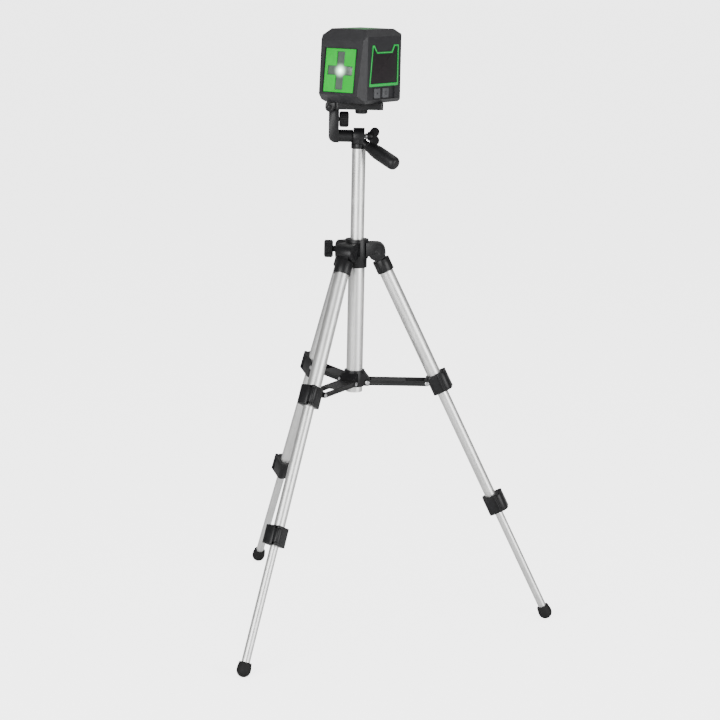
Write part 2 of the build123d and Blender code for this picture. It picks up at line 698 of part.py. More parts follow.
def handle_plane(distance):
    """Plane square to the handle at a distance from the column axis."""
    ahead = outward(HANDLE_TURN) * cos(radians(HANDLE_DROOP)) - Vector(0, 0, sin(radians(HANDLE_DROOP)))
    root = Vector(0, 0, BARREL_Z - HANDLE_ROOT_DROP)
    return Plane(origin=root + ahead * distance, x_dir=across(HANDLE_TURN), z_dir=ahead)


def tilt_clamp():
    """Head base: turns on the collar, and clamps the tilt barrel."""
    with BuildPart() as clamp:
        with BuildSketch(Plane.YZ.offset(CLAMP_LEFT)):
            with Locations((0, BARREL_Z)):
                Circle(CLAMP_D / 2)
        extrude(amount=CLAMP_RIGHT - CLAMP_LEFT)
        with BuildSketch(Plane.XY.offset(CLAMP_FLOOR)):
            Circle(COLLAR_D / 2)
        extrude(amount=BARREL_Z - CLAMP_FLOOR - BARREL_D / 4)
        # boss for the handle, which droops past the collar
        with BuildSketch(handle_plane(HANDLE_START - HANDLE_BOSS_D)):
            Circle(HANDLE_BOSS_D / 2)
        extrude(amount=HANDLE_BOSS_D - FACE_GAP)
        with BuildSketch(Plane.YZ.offset(CLAMP_LEFT)):
            with Locations((0, BARREL_Z)):
                Circle(BARREL_SPIGOT_D / 2 + PIN_GAP)
        extrude(amount=CLAMP_RIGHT - CLAMP_LEFT, mode=Mode.SUBTRACT)
        with BuildSketch(Plane.XY.offset(CLAMP_FLOOR - FACE_GAP)):
            Circle(SPINDLE_D / 2 + PIN_GAP)
        extrude(amount=SPINDLE_HEIGHT, mode=Mode.SUBTRACT)
        # the barrel and the wing screw turn past the flat sides of the base
        for edge, turning_d, reach in ((CLAMP_LEFT, BARREL_D, -COLLAR_D), (CLAMP_RIGHT, WING_HUB_D, COLLAR_D)):
            with BuildSketch(Plane.YZ.offset(edge)):
                with Locations((0, BARREL_Z)):
                    Circle(turning_d / 2 + FACE_GAP)
            extrude(amount=reach, mode=Mode.SUBTRACT)
        with BuildSketch(handle_plane(HANDLE_START - HANDLE_ROD)):
            Circle(HANDLE_ROD_D / 2 + PIN_GAP)
        extrude(amount=HANDLE_ROD, mode=Mode.SUBTRACT)
        with BuildSketch(Plane.XY.offset(CLAMP_FLOOR)):
            Circle(COLLAR_D / 2 + FACE_GAP)
        extrude(amount=-COLLAR_D, mode=Mode.SUBTRACT)
    return clamp


def pan_handle():
    """Tapered grip on its rod, which screws into the head base."""
    dome = HANDLE_D / 4
    with BuildPart() as handle:
        with BuildSketch(handle_plane(HANDLE_START - HANDLE_ROD + FACE_GAP)):
            Circle(HANDLE_ROD_D / 2)
        extrude(amount=HANDLE_ROD)
        with BuildSketch(handle_plane(HANDLE_START)):
            Circle(HANDLE_NECK_D / 2)
        with BuildSketch(handle_plane(HANDLE_TAPER_END)):
            Circle(HANDLE_D / 2)
        loft()
        with BuildSketch(handle_plane(HANDLE_TAPER_END)):
            Circle(HANDLE_D / 2)
        extrude(amount=HANDLE_END - HANDLE_TAPER_END)
        tip = handle.edges().filter_by(GeomType.CIRCLE).sort_by(
            Axis(handle_plane(0).origin, handle_plane(0).z_dir))[-1]
        fillet(tip, dome)
    return handle


def l_bracket():
    """Upright arm on a level barrel, with the knuckle that the platform flips on."""
    barrel_left = (ARM_LEFT + ARM_RIGHT) / 2
    with BuildPart() as bracket:
        with BuildSketch(Plane.XZ):
            with BuildLine():
                Polyline(
                    (ARM_LEFT, BARREL_Z - BARREL_D / 2),
                    (ARM_RIGHT, BARREL_Z - BARREL_D / 2),
                    (ARM_RIGHT, PLATFORM_FLOOR - FACE_GAP),
                    (ARM_LEFT, PLATFORM_FLOOR - FACE_GAP),
                    close=True,
                )
            make_face()
        extrude(amount=ARM_WIDTH / 2, both=True)
        corner = bracket.edges().filter_by(Axis.Y).group_by(Axis.Z)[0].sort_by(Axis.X)[0]
        fillet(corner, ARM_CORNER)
        with BuildSketch(Plane.YZ.offset(barrel_left)):
            with Locations((0, BARREL_Z)):
                Circle(BARREL_D / 2)
        extrude(amount=CLAMP_LEFT - FACE_GAP - barrel_left)
        with BuildSketch(Plane.YZ.offset(barrel_left)):
            with Locations((0, BARREL_Z)):
                Circle(BARREL_SPIGOT_D / 2)
        extrude(amount=CLAMP_RIGHT - barrel_left)
        # room for the platform's lugs, then the knuckle and its trunnions
        with BuildSketch(Plane.XZ):
            with Locations((FLIP_X, FLIP_Z)):
                Circle(FLIP_R + FACE_GAP)
        extrude(amount=ARM_WIDTH, both=True, mode=Mode.SUBTRACT)
        with BuildSketch(Plane.XZ):
            with Locations((FLIP_X, FLIP_Z)):
                Circle(FLIP_R)
            with Locations((FLIP_X + FLIP_R / 2, FLIP_Z - FLIP_R)):
                Rectangle(FLIP_R, 2 * FLIP_R)
        extrude(amount=FLIP_KNUCKLE_WIDTH / 2, both=True)
        with BuildSketch(Plane.XZ):
            with Locations((FLIP_X, FLIP_Z)):
                Circle(FLIP_TRUNNION_D / 2)
        extrude(amount=FLIP_KNUCKLE_WIDTH / 2 + FLIP_LUG_WIDTH, both=True)
        with BuildSketch(Plane.YZ.offset(CLAMP_RIGHT)):
            with Locations((0, BARREL_Z)):
                Circle(WING_SCREW_D / 2 + PIN_GAP)
        extrude(amount=CLAMP_LEFT - CLAMP_RIGHT - FACE_GAP, mode=Mode.SUBTRACT)
        with BuildSketch(Plane.YZ.offset(ARM_RIGHT)):
            with Locations((0, FLIP_KNOB_Z)):
                Circle(FLIP_STUD_D / 2 + PIN_GAP)
        extrude(amount=-FLIP_STUD_LENGTH - FACE_GAP, mode=Mode.SUBTRACT)
    return bracket


def wing_screw():
    """Screw with two flared wings that clamps the barrel."""
    with BuildPart() as screw:
        with BuildSketch(Plane.YZ.offset(CLAMP_LEFT)):
            with Locations((0, BARREL_Z)):
                Circle(WING_SCREW_D / 2)
        extrude(amount=WING_START - CLAMP_LEFT + 1)
        with BuildSketch(Plane.YZ.offset(WING_START)):
            with Locations((0, BARREL_Z)):
                Circle(WING_HUB_D / 2)
        extrude(amount=(WING_END - WING_START) / 2)
        lean = radians(WING_TURN)
        with BuildSketch(Plane(origin=(0, 0, BARREL_Z), x_dir=(1, 0, 0), z_dir=(0, -cos(lean), sin(lean)))):
            with BuildLine():
                Polyline(
                    (WING_START + WING_NECK, -WING_HUB_D / 2),
                    (WING_END - WING_TIP, -WING_REACH),
                    (WING_END, 1 - WING_REACH),
                    (WING_END - WING_TIP / 2, 0),
                    (WING_END, WING_REACH - 1),
                    (WING_END - WING_TIP, WING_REACH),
                    (WING_START + WING_NECK, WING_HUB_D / 2),
                    close=True,
                )
            make_face()
        extrude(amount=WING_THICKNESS / 2, both=True)
    return screw


def platform():
    """Camera plate: flat top, ribbed hollow underside and two lugs for the knuckle."""
    left = FLIP_X + FLIP_R + FACE_GAP
    length = PLATFORM_RIGHT - left
    with BuildPart() as plate:
        with BuildSketch(Plane.XY.offset(PLATFORM_FLOOR)):
            with Locations((left + length / 2, 0)):
                RectangleRounded(length, PLATFORM_DEPTH, 4)
        extrude(amount=PLATFORM_THICKNESS)
        with BuildSketch(Plane.XY.offset(PLATFORM_FLOOR)):
            with Locations((left + length / 2, 0)):
                RectangleRounded(length - 2 * PLATFORM_RIM, PLATFORM_DEPTH - 2 * PLATFORM_RIM, 2)
            with Locations((CAMERA_SCREW_X, 0)):
                Circle(CAMERA_WHEEL_D / 2, mode=Mode.SUBTRACT)
        extrude(amount=PLATFORM_THICKNESS - PLATFORM_WEB, mode=Mode.SUBTRACT)
        for side in (-1, 1):
            inner = side * (FLIP_KNUCKLE_WIDTH / 2 + FACE_GAP)
            with BuildSketch(Plane.XZ.offset(inner)):
                with Locations((FLIP_X, FLIP_Z)):
                    Circle(FLIP_R)
                with Locations((FLIP_X + FLIP_R, (PLATFORM_FLOOR + FLIP_Z + FLIP_R) / 2)):
                    Rectangle(2 * FLIP_R, FLIP_Z + FLIP_R - PLATFORM_FLOOR)
            extrude(amount=side * (FLIP_LUG_WIDTH - FACE_GAP))
        with BuildSketch(Plane.XZ):
            with Locations((FLIP_X, FLIP_Z)):
                Circle(FLIP_TRUNNION_D / 2 + PIN_GAP)
        extrude(amount=PLATFORM_DEPTH / 2, both=True, mode=Mode.SUBTRACT)
        with BuildSketch(Plane.XY.offset(PLATFORM_FLOOR)):
            with Locations((CAMERA_SCREW_X, 0)):
                Circle(CAMERA_SCREW_D / 2 + PIN_GAP)
        extrude(amount=PLATFORM_THICKNESS, mode=Mode.SUBTRACT)
    return plate


def camera_screw():
    """Quarter-inch screw with its thumb wheel under the platform."""
    with BuildPart() as screw:
        with BuildSketch(Plane.XY.offset(PLATFORM_FLOOR - FACE_GAP - CAMERA_WHEEL_THICKNESS)):
            with Locations((CAMERA_SCREW_X, 0)):
                Circle(CAMERA_WHEEL_D / 2)
        extrude(amount=CAMERA_WHEEL_THICKNESS)
        with BuildSketch(Plane.XY.offset(PLATFORM_FLOOR - FACE_GAP)):
            with Locations((CAMERA_SCREW_X, 0)):
                Circle(CAMERA_SCREW_D / 2)
        extrude(amount=PLATFORM_THICKNESS + FACE_GAP + CAMERA_SCREW_REACH)
    return screw


def flip_knob():
    """Round clamp knob inside the bracket, with its stud in the arm."""
    with BuildPart() as knob:
        with BuildSketch(Plane.YZ.offset(ARM_RIGHT + FACE_GAP)):
            with Locations((0, FLIP_KNOB_Z)):
                Circle(FLIP_KNOB_D / 2)
        extrude(amount=FLIP_KNOB_THICKNESS)
        with BuildSketch(Plane.YZ.offset(ARM_RIGHT + FACE_GAP)):
            with Locations((0, FLIP_KNOB_Z)):
                Circle(FLIP_STUD_D / 2)
        extrude(amount=-FLIP_STUD_LENGTH)
    return knob


# ---------------------------------------------------------------- laser
def laser_side_outline():
    """Corners of the laser seen from its side, from the base's rear corner."""
    return (
        (LASER_BASE_REAR, 0),
        (LASER_BASE_FRONT, 0),
        (LASER_NOSE, LASER_NOSE_HEIGHT),
        (LASER_BROW, LASER_BROW_HEIGHT),
        (LASER_TOP_FRONT, LASER_HEIGHT),
        (LASER_TOP_REAR, LASER_HEIGHT),
        (LASER_REAR, LASER_HEIGHT - LASER_REAR_CHAMFER),
        (LASER_REAR, LASER_REAR_CHAMFER - 2),
    )


def laser_cross_outline():
    """Corners of the laser seen from the front."""
    return (
        (-LASER_BASE_HALF_WIDTH, 0),
        (LASER_BASE_HALF_WIDTH, 0),
        (LASER_HALF_WIDTH, LASER_SIDE_BOTTOM),
        (LASER_HALF_WIDTH, LASER_SIDE_TOP),
        (LASER_TOP_HALF_WIDTH, LASER_HEIGHT),
        (-LASER_TOP_HALF_WIDTH, LASER_HEIGHT),
        (-LASER_HALF_WIDTH, LASER_SIDE_TOP),
        (-LASER_HALF_WIDTH, LASER_SIDE_BOTTOM),
    )


def laser_plan_outline():
    """Corners of the laser seen from above."""
    rear_cut = LASER_CORNER / 2
    return (
        (LASER_NOSE, -LASER_FACE_HALF_WIDTH),
        (LASER_NOSE, LASER_FACE_HALF_WIDTH),
        (LASER_NOSE - LASER_CORNER, LASER_HALF_WIDTH),
        (LASER_REAR + rear_cut, LASER_HALF_WIDTH),
        (LASER_REAR, LASER_FACE_HALF_WIDTH),
        (LASER_REAR, -LASER_FACE_HALF_WIDTH),
        (LASER_REAR + rear_cut, -LASER_HALF_WIDTH),
        (LASER_NOSE - LASER_CORNER, -LASER_HALF_WIDTH),
    )


def laser_block(inset):
    """The laser's faceted form, taken in all over by an inset."""
    views = (
        (laser_side_plane(), laser_side_outline(), LASER_HALF_WIDTH * 2),
        (laser_cross_plane(), laser_cross_outline(), LASER_NOSE * 2),
        (laser_plane(), laser_plan_outline(), LASER_HEIGHT * 2),
    )
    with BuildPart() as block:
        for number, (plane, outline, reach) in enumerate(views):
            with BuildSketch(plane):
                with BuildLine():
                    Polyline(*outline, close=True)
                make_face()
                if inset:
                    offset(amount=-inset, kind=Kind.INTERSECTION)
            extrude(amount=reach, both=True, mode=Mode.INTERSECT if number else Mode.ADD)
    return block.part


def trim_outline(inset, sill):
    """Outline of the side trim, taken in by an inset, with a deeper sill along its base."""
    lean = (LASER_BROW - LASER_NOSE) / (LASER_BROW_HEIGHT - LASER_NOSE_HEIGHT)
    front = LASER_NOSE - LASER_CORNER - 3

    def edge(height):
        return front + lean * (height - LASER_NOSE_HEIGHT) - inset

    base = TRIM_BASE + sill
    peak = TRIM_PEAK - inset
    saddle = TRIM_SADDLE - inset
    return (
        (edge(base), base),
        (edge(peak), peak),
        (edge(peak) - 4 + 2 * inset, peak),
        (edge(peak) - 10 + inset, saddle),
        (TRIM_REAR + 15 - inset, saddle),
        (TRIM_REAR + 10 - inset, peak),
        (TRIM_REAR + inset, peak),
        (TRIM_REAR + inset, base),
    )


def side_inlay(outline, hole, bottom, top):
    """Flat inlay on both sides of the laser between two distances from its middle."""
    with BuildPart() as inlay:
        for side in (-1, 1):
            with BuildSketch(laser_side_plane().offset(side * bottom)):
                with BuildLine():
                    Polyline(*outline, close=True)
                make_face()
                if hole:
                    with BuildLine():
                        Polyline(*hole, close=True)
                    make_face(mode=Mode.SUBTRACT)
            extrude(amount=side * (top - bottom))
    return inlay


def laser_housing():
    """Hollow housing with its openings, recesses and inner posts."""
    whole = laser_block(0)
    cavity = laser_block(LASER_WALL)
    inner = LASER_HALF_WIDTH - TRIM_DEPTH
    rear_inner = LASER_REAR + LASER_WALL
    battery_front = BATTERY_X + BATTERY_D / 2 + FACE_GAP
    battery_width = 2 * (BATTERY_Y + BATTERY_D / 2)
    with BuildPart() as housing:
        add(whole)
        add(cavity, mode=Mode.SUBTRACT)
        # boss for the camera screw, battery shelf and wall, and posts for the gimbal
        with BuildSketch(laser_plane(LASER_WALL)):
            Circle(CAMERA_SCREW_D + 1)
        extrude(amount=CAMERA_SCREW_REACH)
        with BuildSketch(laser_plane(LASER_WALL / 2)):
            with Locations(((LASER_REAR + LASER_WALL + battery_front) / 2, 0)):
                Rectangle(battery_front - LASER_REAR - LASER_WALL, battery_width)
        extrude(amount=BATTERY_BASE - FACE_GAP - LASER_WALL / 2)
        with BuildSketch(laser_plane(LASER_WALL / 2)):
            with Locations((battery_front + BATTERY_WALL / 2, 0)):
                Rectangle(BATTERY_WALL, battery_width)
        extrude(amount=BATTERY_BASE + BATTERY_LENGTH)
        for side in (-1, 1):
            with BuildSketch(laser_plane(GIMBAL_Z - GIMBAL_POST / 2)):
                with Locations((GIMBAL_X, side * (GIMBAL_R + GIMBAL_POST / 2 + FACE_GAP))):
                    Rectangle(GIMBAL_POST, GIMBAL_POST)
            extrude(amount=LASER_HEIGHT - GIMBAL_Z + GIMBAL_POST / 2 - LASER_WALL / 2)
        with BuildSketch(laser_side_plane()):
            with Locations((GIMBAL_X, GIMBAL_Z)):
                Circle(GIMBAL_PIN_D / 2 + PIN_GAP)
        extrude(amount=GIMBAL_R + GIMBAL_POST + 2, both=True, mode=Mode.SUBTRACT)
        with BuildSketch(laser_plane()):
            Circle(CAMERA_SCREW_D / 2 + PIN_GAP)
        extrude(amount=CAMERA_SCREW_REACH + 1, mode=Mode.SUBTRACT)
        # lit face: rebate for the plate, and an opening behind its cross
        with BuildSketch(face_plane()):
            Rectangle(FACE_PLATE_WIDTH, FACE_PLATE_HEIGHT)
        extrude(amount=-FACE_PLATE_THICKNESS, mode=Mode.SUBTRACT)
        with BuildSketch(face_plane()):
            Rectangle(CROSS_WIDTH, CROSS_ARM)
            Rectangle(CROSS_ARM, CROSS_HEIGHT)
        extrude(amount=-2 * LASER_WALL, mode=Mode.SUBTRACT)
        with BuildSketch(laser_plane(LASER_HEIGHT)):
            Rectangle(TOP_PANEL_LENGTH, TOP_PANEL_WIDTH)
        extrude(amount=-TOP_PANEL_DEPTH, mode=Mode.SUBTRACT)
        for side in (-1, 1):
            with BuildSketch(laser_side_plane().offset(side * inner)):
                with BuildLine():
                    Polyline(*trim_outline(0, 0), close=True)
                make_face()
            extrude(amount=side * TRIM_DEPTH * 2, mode=Mode.SUBTRACT)
        # button pocket and its two holes, on the button side
        with BuildSketch(laser_side_plane().offset(-LASER_SIDE_FLOOR)):
            with Locations(((POCKET_FRONT + POCKET_REAR) / 2, (POCKET_TOP + POCKET_BOTTOM) / 2)):
                Rectangle(POCKET_FRONT - POCKET_REAR, POCKET_TOP - POCKET_BOTTOM)
        extrude(amount=-POCKET_DEPTH, mode=Mode.SUBTRACT)
        with BuildSketch(laser_side_plane().offset(-LASER_SIDE_FLOOR)):
            for button_x in BUTTON_XS:
                with Locations((button_x, BUTTON_Z)):
                    Rectangle(BUTTON_WIDTH + 2 * BUTTON_GAP, BUTTON_HEIGHT + 2 * BUTTON_GAP)
        extrude(amount=LASER_WALL, mode=Mode.SUBTRACT)
        # battery opening and the holes for its cover's pins
        with BuildSketch(laser_cross_plane(rear_inner)):
            with Locations((0, (COVER_BOTTOM + COVER_TOP) / 2)):
                Rectangle(2 * (COVER_HALF_WIDTH + FACE_GAP), COVER_TOP - COVER_BOTTOM + 2 * FACE_GAP)
        extrude(amount=-LASER_WALL, mode=Mode.SUBTRACT)
        with BuildSketch(laser_side_plane()):
            with Locations((cover_pin_x(), cover_pin_z())):
                Circle(COVER_PIN_D / 2 + PIN_GAP)
        extrude(amount=COVER_HALF_WIDTH + 2.5, both=True, mode=Mode.SUBTRACT)
    return housing


def cover_pin_x():
    """The battery cover hinges in the middle of the rear wall's thickness."""
    return LASER_REAR + LASER_WALL / 2


def cover_pin_z():
    """Height of the battery cover's hinge, at the centre of its rounded lower edge."""
    return COVER_BOTTOM + LASER_WALL / 2


def laser_face_plate():
    """Green plate on the lit face, pierced by the cross."""
    with BuildPart() as plate:
        with BuildSketch(face_plane(-FACE_PLATE_THICKNESS)):
            Rectangle(FACE_PLATE_WIDTH - 2 * BOND_GAP, FACE_PLATE_HEIGHT - 2 * BOND_GAP)
            Rectangle(CROSS_WIDTH, CROSS_ARM, mode=Mode.SUBTRACT)
            Rectangle(CROSS_ARM, CROSS_HEIGHT, mode=Mode.SUBTRACT)
        extrude(amount=FACE_PLATE_THICKNESS)
    return plate


def laser_window():
    """Clear cross-shaped window, stepped to fit the opening behind the plate."""
    play = 2 * BOND_GAP
    with BuildPart() as window:
        with BuildSketch(face_plane(-LASER_WALL)):
            Rectangle(CROSS_WIDTH - play, CROSS_ARM - play)
            Rectangle(CROSS_ARM - play, CROSS_HEIGHT - play)
        extrude(amount=WINDOW_THICKNESS)
        with BuildSketch(face_plane(-LASER_WALL)):
            Rectangle(CROSS_WIDTH + 2 * WINDOW_LIP, CROSS_ARM + 2 * WINDOW_LIP)
            Rectangle(CROSS_ARM + 2 * WINDOW_LIP, CROSS_HEIGHT + 2 * WINDOW_LIP)
        extrude(amount=-WINDOW_THICKNESS)
    return window


def laser_top_panel():
    """Green panel let into the top."""
    with BuildPart() as panel:
        with BuildSketch(laser_plane(LASER_HEIGHT - TOP_PANEL_DEPTH)):
            Rectangle(TOP_PANEL_LENGTH - 2 * BOND_GAP, TOP_PANEL_WIDTH - 2 * BOND_GAP)
        extrude(amount=TOP_PANEL_DEPTH)
    return panel


def laser_button(button_x):
    """Push button: cap in its hole, with a flange behind the wall."""
    back = LASER_HALF_WIDTH - LASER_WALL - FACE_GAP
    front = LASER_HALF_WIDTH - BUTTON_PROUD
    with BuildPart() as button:
        with BuildSketch(laser_side_plane().offset(-back)):
            with Locations((button_x, BUTTON_Z)):
                Rectangle(BUTTON_WIDTH, BUTTON_HEIGHT)
        extrude(amount=back - front)
        with BuildSketch(laser_side_plane().offset(-back)):
            with Locations((button_x, BUTTON_Z)):
                Rectangle(BUTTON_WIDTH + 2 * BUTTON_LIP, BUTTON_HEIGHT + 2 * BUTTON_LIP)
        extrude(amount=BUTTON_FLANGE)
    return button


def laser_battery_cover():
    """Rear cover that swings down on two pins at its lower edge."""
    half = LASER_WALL / 2 - BOND_GAP
    with BuildPart() as cover:
        with BuildSketch(laser_side_plane()):
            with Locations((cover_pin_x(), cover_pin_z())):
                Circle(half)
            with Locations((cover_pin_x(), (cover_pin_z() + COVER_TOP) / 2)):
                Rectangle(2 * half, COVER_TOP - cover_pin_z())
        extrude(amount=COVER_HALF_WIDTH, both=True)
        with BuildSketch(laser_side_plane()):
            with Locations((cover_pin_x(), cover_pin_z())):
                Circle(COVER_PIN_D / 2)
        extrude(amount=COVER_HALF_WIDTH + 2, both=True)
    return cover


def laser_batteries():
    """Two round cells behind the cover."""
    with BuildPart() as cells:
        with BuildSketch(laser_plane(BATTERY_BASE)):
            for side in (-1, 1):
                with Locations((BATTERY_X, side * BATTERY_Y)):
                    Circle(BATTERY_D / 2)
        extrude(amount=BATTERY_LENGTH)
    return cells


def laser_gimbal_ring():
    """Ring that rocks on the posts and carries the pendulum."""
    with BuildPart() as ring:
        with BuildSketch(laser_plane(GIMBAL_Z - GIMBAL_DEPTH / 2)):
            with Locations((GIMBAL_X, 0)):
                Circle(GIMBAL_R)
                Circle(GIMBAL_R - GIMBAL_WALL, mode=Mode.SUBTRACT)
        extrude(amount=GIMBAL_DEPTH)
        for side in (-1, 1):
            with BuildSketch(laser_side_plane().offset(side * (GIMBAL_R - 1))):
                with Locations((GIMBAL_X, GIMBAL_Z)):
                    Circle(GIMBAL_PIN_D / 2)
            extrude(amount=side * (GIMBAL_POST + 1))
        with BuildSketch(laser_cross_plane(GIMBAL_X - GIMBAL_R)):
            with Locations((0, GIMBAL_Z)):
                Circle(GIMBAL_PIN_D / 2 + PIN_GAP)
        extrude(amount=2 * GIMBAL_R, mode=Mode.SUBTRACT)
    return ring


def laser_pendulum():
    """Swinging block with its weight and the two diode barrels."""
    with BuildPart() as pendulum:
        with BuildSketch(laser_plane(GIMBAL_Z - PENDULUM_DROP)):
            with Locations((GIMBAL_X, 0)):
                Circle(PENDULUM_D / 2)
        extrude(amount=PENDULUM_DROP + PENDULUM_TOP)
        with BuildSketch(laser_cross_plane(GIMBAL_X)):
            with Locations((0, GIMBAL_Z - DIODE_DROP)):
                Circle(DIODE_D / 2)
        extrude(amount=DIODE_REACH)
        with BuildSketch(laser_cross_plane(GIMBAL_X - GIMBAL_R + 0.5)):
            with Locations((0, GIMBAL_Z)):
                Circle(GIMBAL_PIN_D / 2)
        extrude(amount=2 * GIMBAL_R - 1)
    return pendulum


# ---------------------------------------------------------------- build and write
for leg, azimuth in LEGS.items():
    save(f"leg_{leg}_socket", leg_socket(azimuth))
    save(f"leg_{leg}_upper_tube",
         leg_tube(azimuth, UPPER_TUBE_START, UPPER_TUBE_END, UPPER_TUBE_D, UPPER_TUBE_WALL))
    save(f"leg_{leg}_middle_tube",
         leg_tube(azimuth, MIDDLE_TUBE_START, MIDDLE_TUBE_END, MIDDLE_TUBE_D, MIDDLE_TUBE_WALL))
    save(f"leg_{leg}_lower_tube",
         leg_tube(azimuth, LOWER_TUBE_START, FOOT_CENTRE, LOWER_TUBE_D, LOWER_TUBE_WALL))
    save(f"leg_{leg}_upper_lock",
         lock_body(azimuth, UPPER_LOCK_START, UPPER_LOCK_LENGTH, UPPER_TUBE_D, MIDDLE_TUBE_D,
                   LOCK_HALF_WIDTH, True))
    save(f"leg_{leg}_upper_lever", lock_lever(azimuth, UPPER_LOCK_START, UPPER_LOCK_LENGTH))
    save(f"leg_{leg}_lower_lock",
         lock_body(azimuth, LOWER_LOCK_START, LOWER_LOCK_LENGTH, MIDDLE_TUBE_D, LOWER_TUBE_D,
                   LOCK_HALF_WIDTH, False))
    save(f"leg_{leg}_lower_lever", lock_lever(azimuth, LOWER_LOCK_START, LOWER_LOCK_LENGTH))
    save(f"leg_{leg}_foot", foot(azimuth))
    save(f"brace_bar_{leg}", brace_bar(azimuth))
    save(f"brace_bar_{leg}_rivets", fork_rivets(azimuth))

save("brace_hub", brace_hub())
save("brace_hub_pins", brace_hub_pins())
save("leg_pivot_pins", leg_pivot_pins())
save("shoulder", shoulder())
save("centre_tube", centre_tube())
save("column", column())
save("column_lock_knob", column_lock_knob())
save("pan_collar", pan_collar())
save("tilt_clamp", tilt_clamp())
save("pan_handle", pan_handle())
save("l_bracket", l_bracket())
save("wing_screw", wing_screw())
save("platform", platform())
save("camera_screw", camera_screw())
save("flip_knob", flip_knob())

save("laser_housing", laser_housing())
save("laser_face_plate", laser_face_plate())
save("laser_window", laser_window())
save("laser_top_panel", laser_top_panel())
save("laser_side_trims",
     side_inlay(trim_outline(BOND_GAP, BOND_GAP), trim_outline(TRIM_WIDTH, TRIM_SILL),
                LASER_HALF_WIDTH - TRIM_DEPTH, LASER_HALF_WIDTH + TRIM_PROUD))
save("laser_side_panels",
     side_inlay(trim_outline(TRIM_WIDTH + BOND_GAP, TRIM_SILL + BOND_GAP), None,
                LASER_HALF_WIDTH - TRIM_DEPTH, LASER_HALF_WIDTH))
save("laser_power_button", laser_button(BUTTON_XS[0]))
save("laser_mode_button", laser_button(BUTTON_XS[1]))
save("laser_battery_cover", laser_battery_cover())
save("laser_batteries", laser_batteries())
save("laser_gimbal_ring", laser_gimbal_ring())
save("laser_pendulum", laser_pendulum())
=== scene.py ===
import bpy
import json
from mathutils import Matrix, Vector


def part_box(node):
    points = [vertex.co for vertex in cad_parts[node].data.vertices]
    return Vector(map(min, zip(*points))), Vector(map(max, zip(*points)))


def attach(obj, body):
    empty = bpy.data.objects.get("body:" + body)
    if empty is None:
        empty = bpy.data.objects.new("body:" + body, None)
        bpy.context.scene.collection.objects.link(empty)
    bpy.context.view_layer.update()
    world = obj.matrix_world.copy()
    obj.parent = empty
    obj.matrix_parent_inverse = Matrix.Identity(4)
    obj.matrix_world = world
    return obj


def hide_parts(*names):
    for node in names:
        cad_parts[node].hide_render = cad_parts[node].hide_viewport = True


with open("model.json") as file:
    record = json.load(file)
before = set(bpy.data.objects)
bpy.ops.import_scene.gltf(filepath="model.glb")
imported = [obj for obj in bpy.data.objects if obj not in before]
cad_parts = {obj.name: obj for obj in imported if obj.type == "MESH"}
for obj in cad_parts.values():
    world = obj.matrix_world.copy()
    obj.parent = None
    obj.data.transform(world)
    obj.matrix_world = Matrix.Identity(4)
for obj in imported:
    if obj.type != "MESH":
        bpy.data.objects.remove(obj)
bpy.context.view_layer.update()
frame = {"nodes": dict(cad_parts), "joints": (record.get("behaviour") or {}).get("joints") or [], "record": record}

import json
import logging
from dataclasses import dataclass
from enum import Enum
from math import cos, pi, radians, sin
from typing import Optional, Sequence

import bmesh
import bpy
from mathutils import Matrix, Vector

log = logging.getLogger("laser_level")
MM = 0.001
TURN_SEGMENTS = 48
RIB_SIDES = 10
SHARP = 34.0              # edges above this angle in degrees stay sharp or are rounded
FLAT = 0.8                # facets within this angle in degrees are merged
SAME_PLACE = 2e-6         # corners nearer than this, in metres, are one
POLE = 1e-6               # radius in millimetres below which a turned profile closes
NEARLY_ALONG = 0.9        # share of a unit direction above which it counts as along an axis
FACING = 0.5              # share of a face's normal above which it looks the asked way
BUMP_STRENGTH = 0.6
WORN_GAIN, WORN_LIFT = 1.5, 0.02
CLOUD_SHARE = 0.06        # scale of the broad clouds against the grain
CLOUD_DETAIL = 4
LINE_STRETCH = (1, 1, 0.012)
LINE_DETAIL = 3
BROAD_SCALE = 60
SCUFF_SCALE = 90.0
SCUFF_TURN = (0.5, 0.9, 0.3)
SCUFF_STRETCH = (1, 0.2, 1)
SCUFF_DETAIL, SCUFF_ROUGHNESS = 8, 0.7
SCUFF_START, SCUFF_END = 0.58, 0.74
Profile = Sequence[tuple[float, float]]
Colour = tuple[float, float, float]
Roundings = Sequence[tuple[str, float]]


# ------------------------------------------------------------------ frames of reference
def joint(name: str) -> dict:
    """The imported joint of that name."""
    return next(entry for entry in frame["joints"] if entry["name"] == name)


def placed(origin: Vector, along: Vector, across: Optional[Vector] = None) -> Matrix:
    """Frame with z along a direction.

    Args:
        origin: the frame's origin, in metres.
        along: direction of its z axis.
        across: direction near its x axis; any if left out.

    Returns:
        The matrix that takes local points to the object's frame.
    """
    z = along.normalized()
    near = across
    if near is None:
        near = Vector((1, 0, 0)) if abs(z.x) < NEARLY_ALONG else Vector((0, 1, 0))
    x = (near - z * near.dot(z)).normalized()
    y = z.cross(x)
    return Matrix((
        (x.x, y.x, z.x, origin.x),
        (x.y, y.y, z.y, origin.y),
        (x.z, y.z, z.z, origin.z),
        (0, 0, 0, 1),
    ))


def joint_frame(name: str, across: Optional[Vector] = None) -> Matrix:
    """Frame at a hinge with z along its axis."""
    entry = joint(name)
    return placed(Vector(entry["pos_m"]), Vector(entry["axis"]), across)


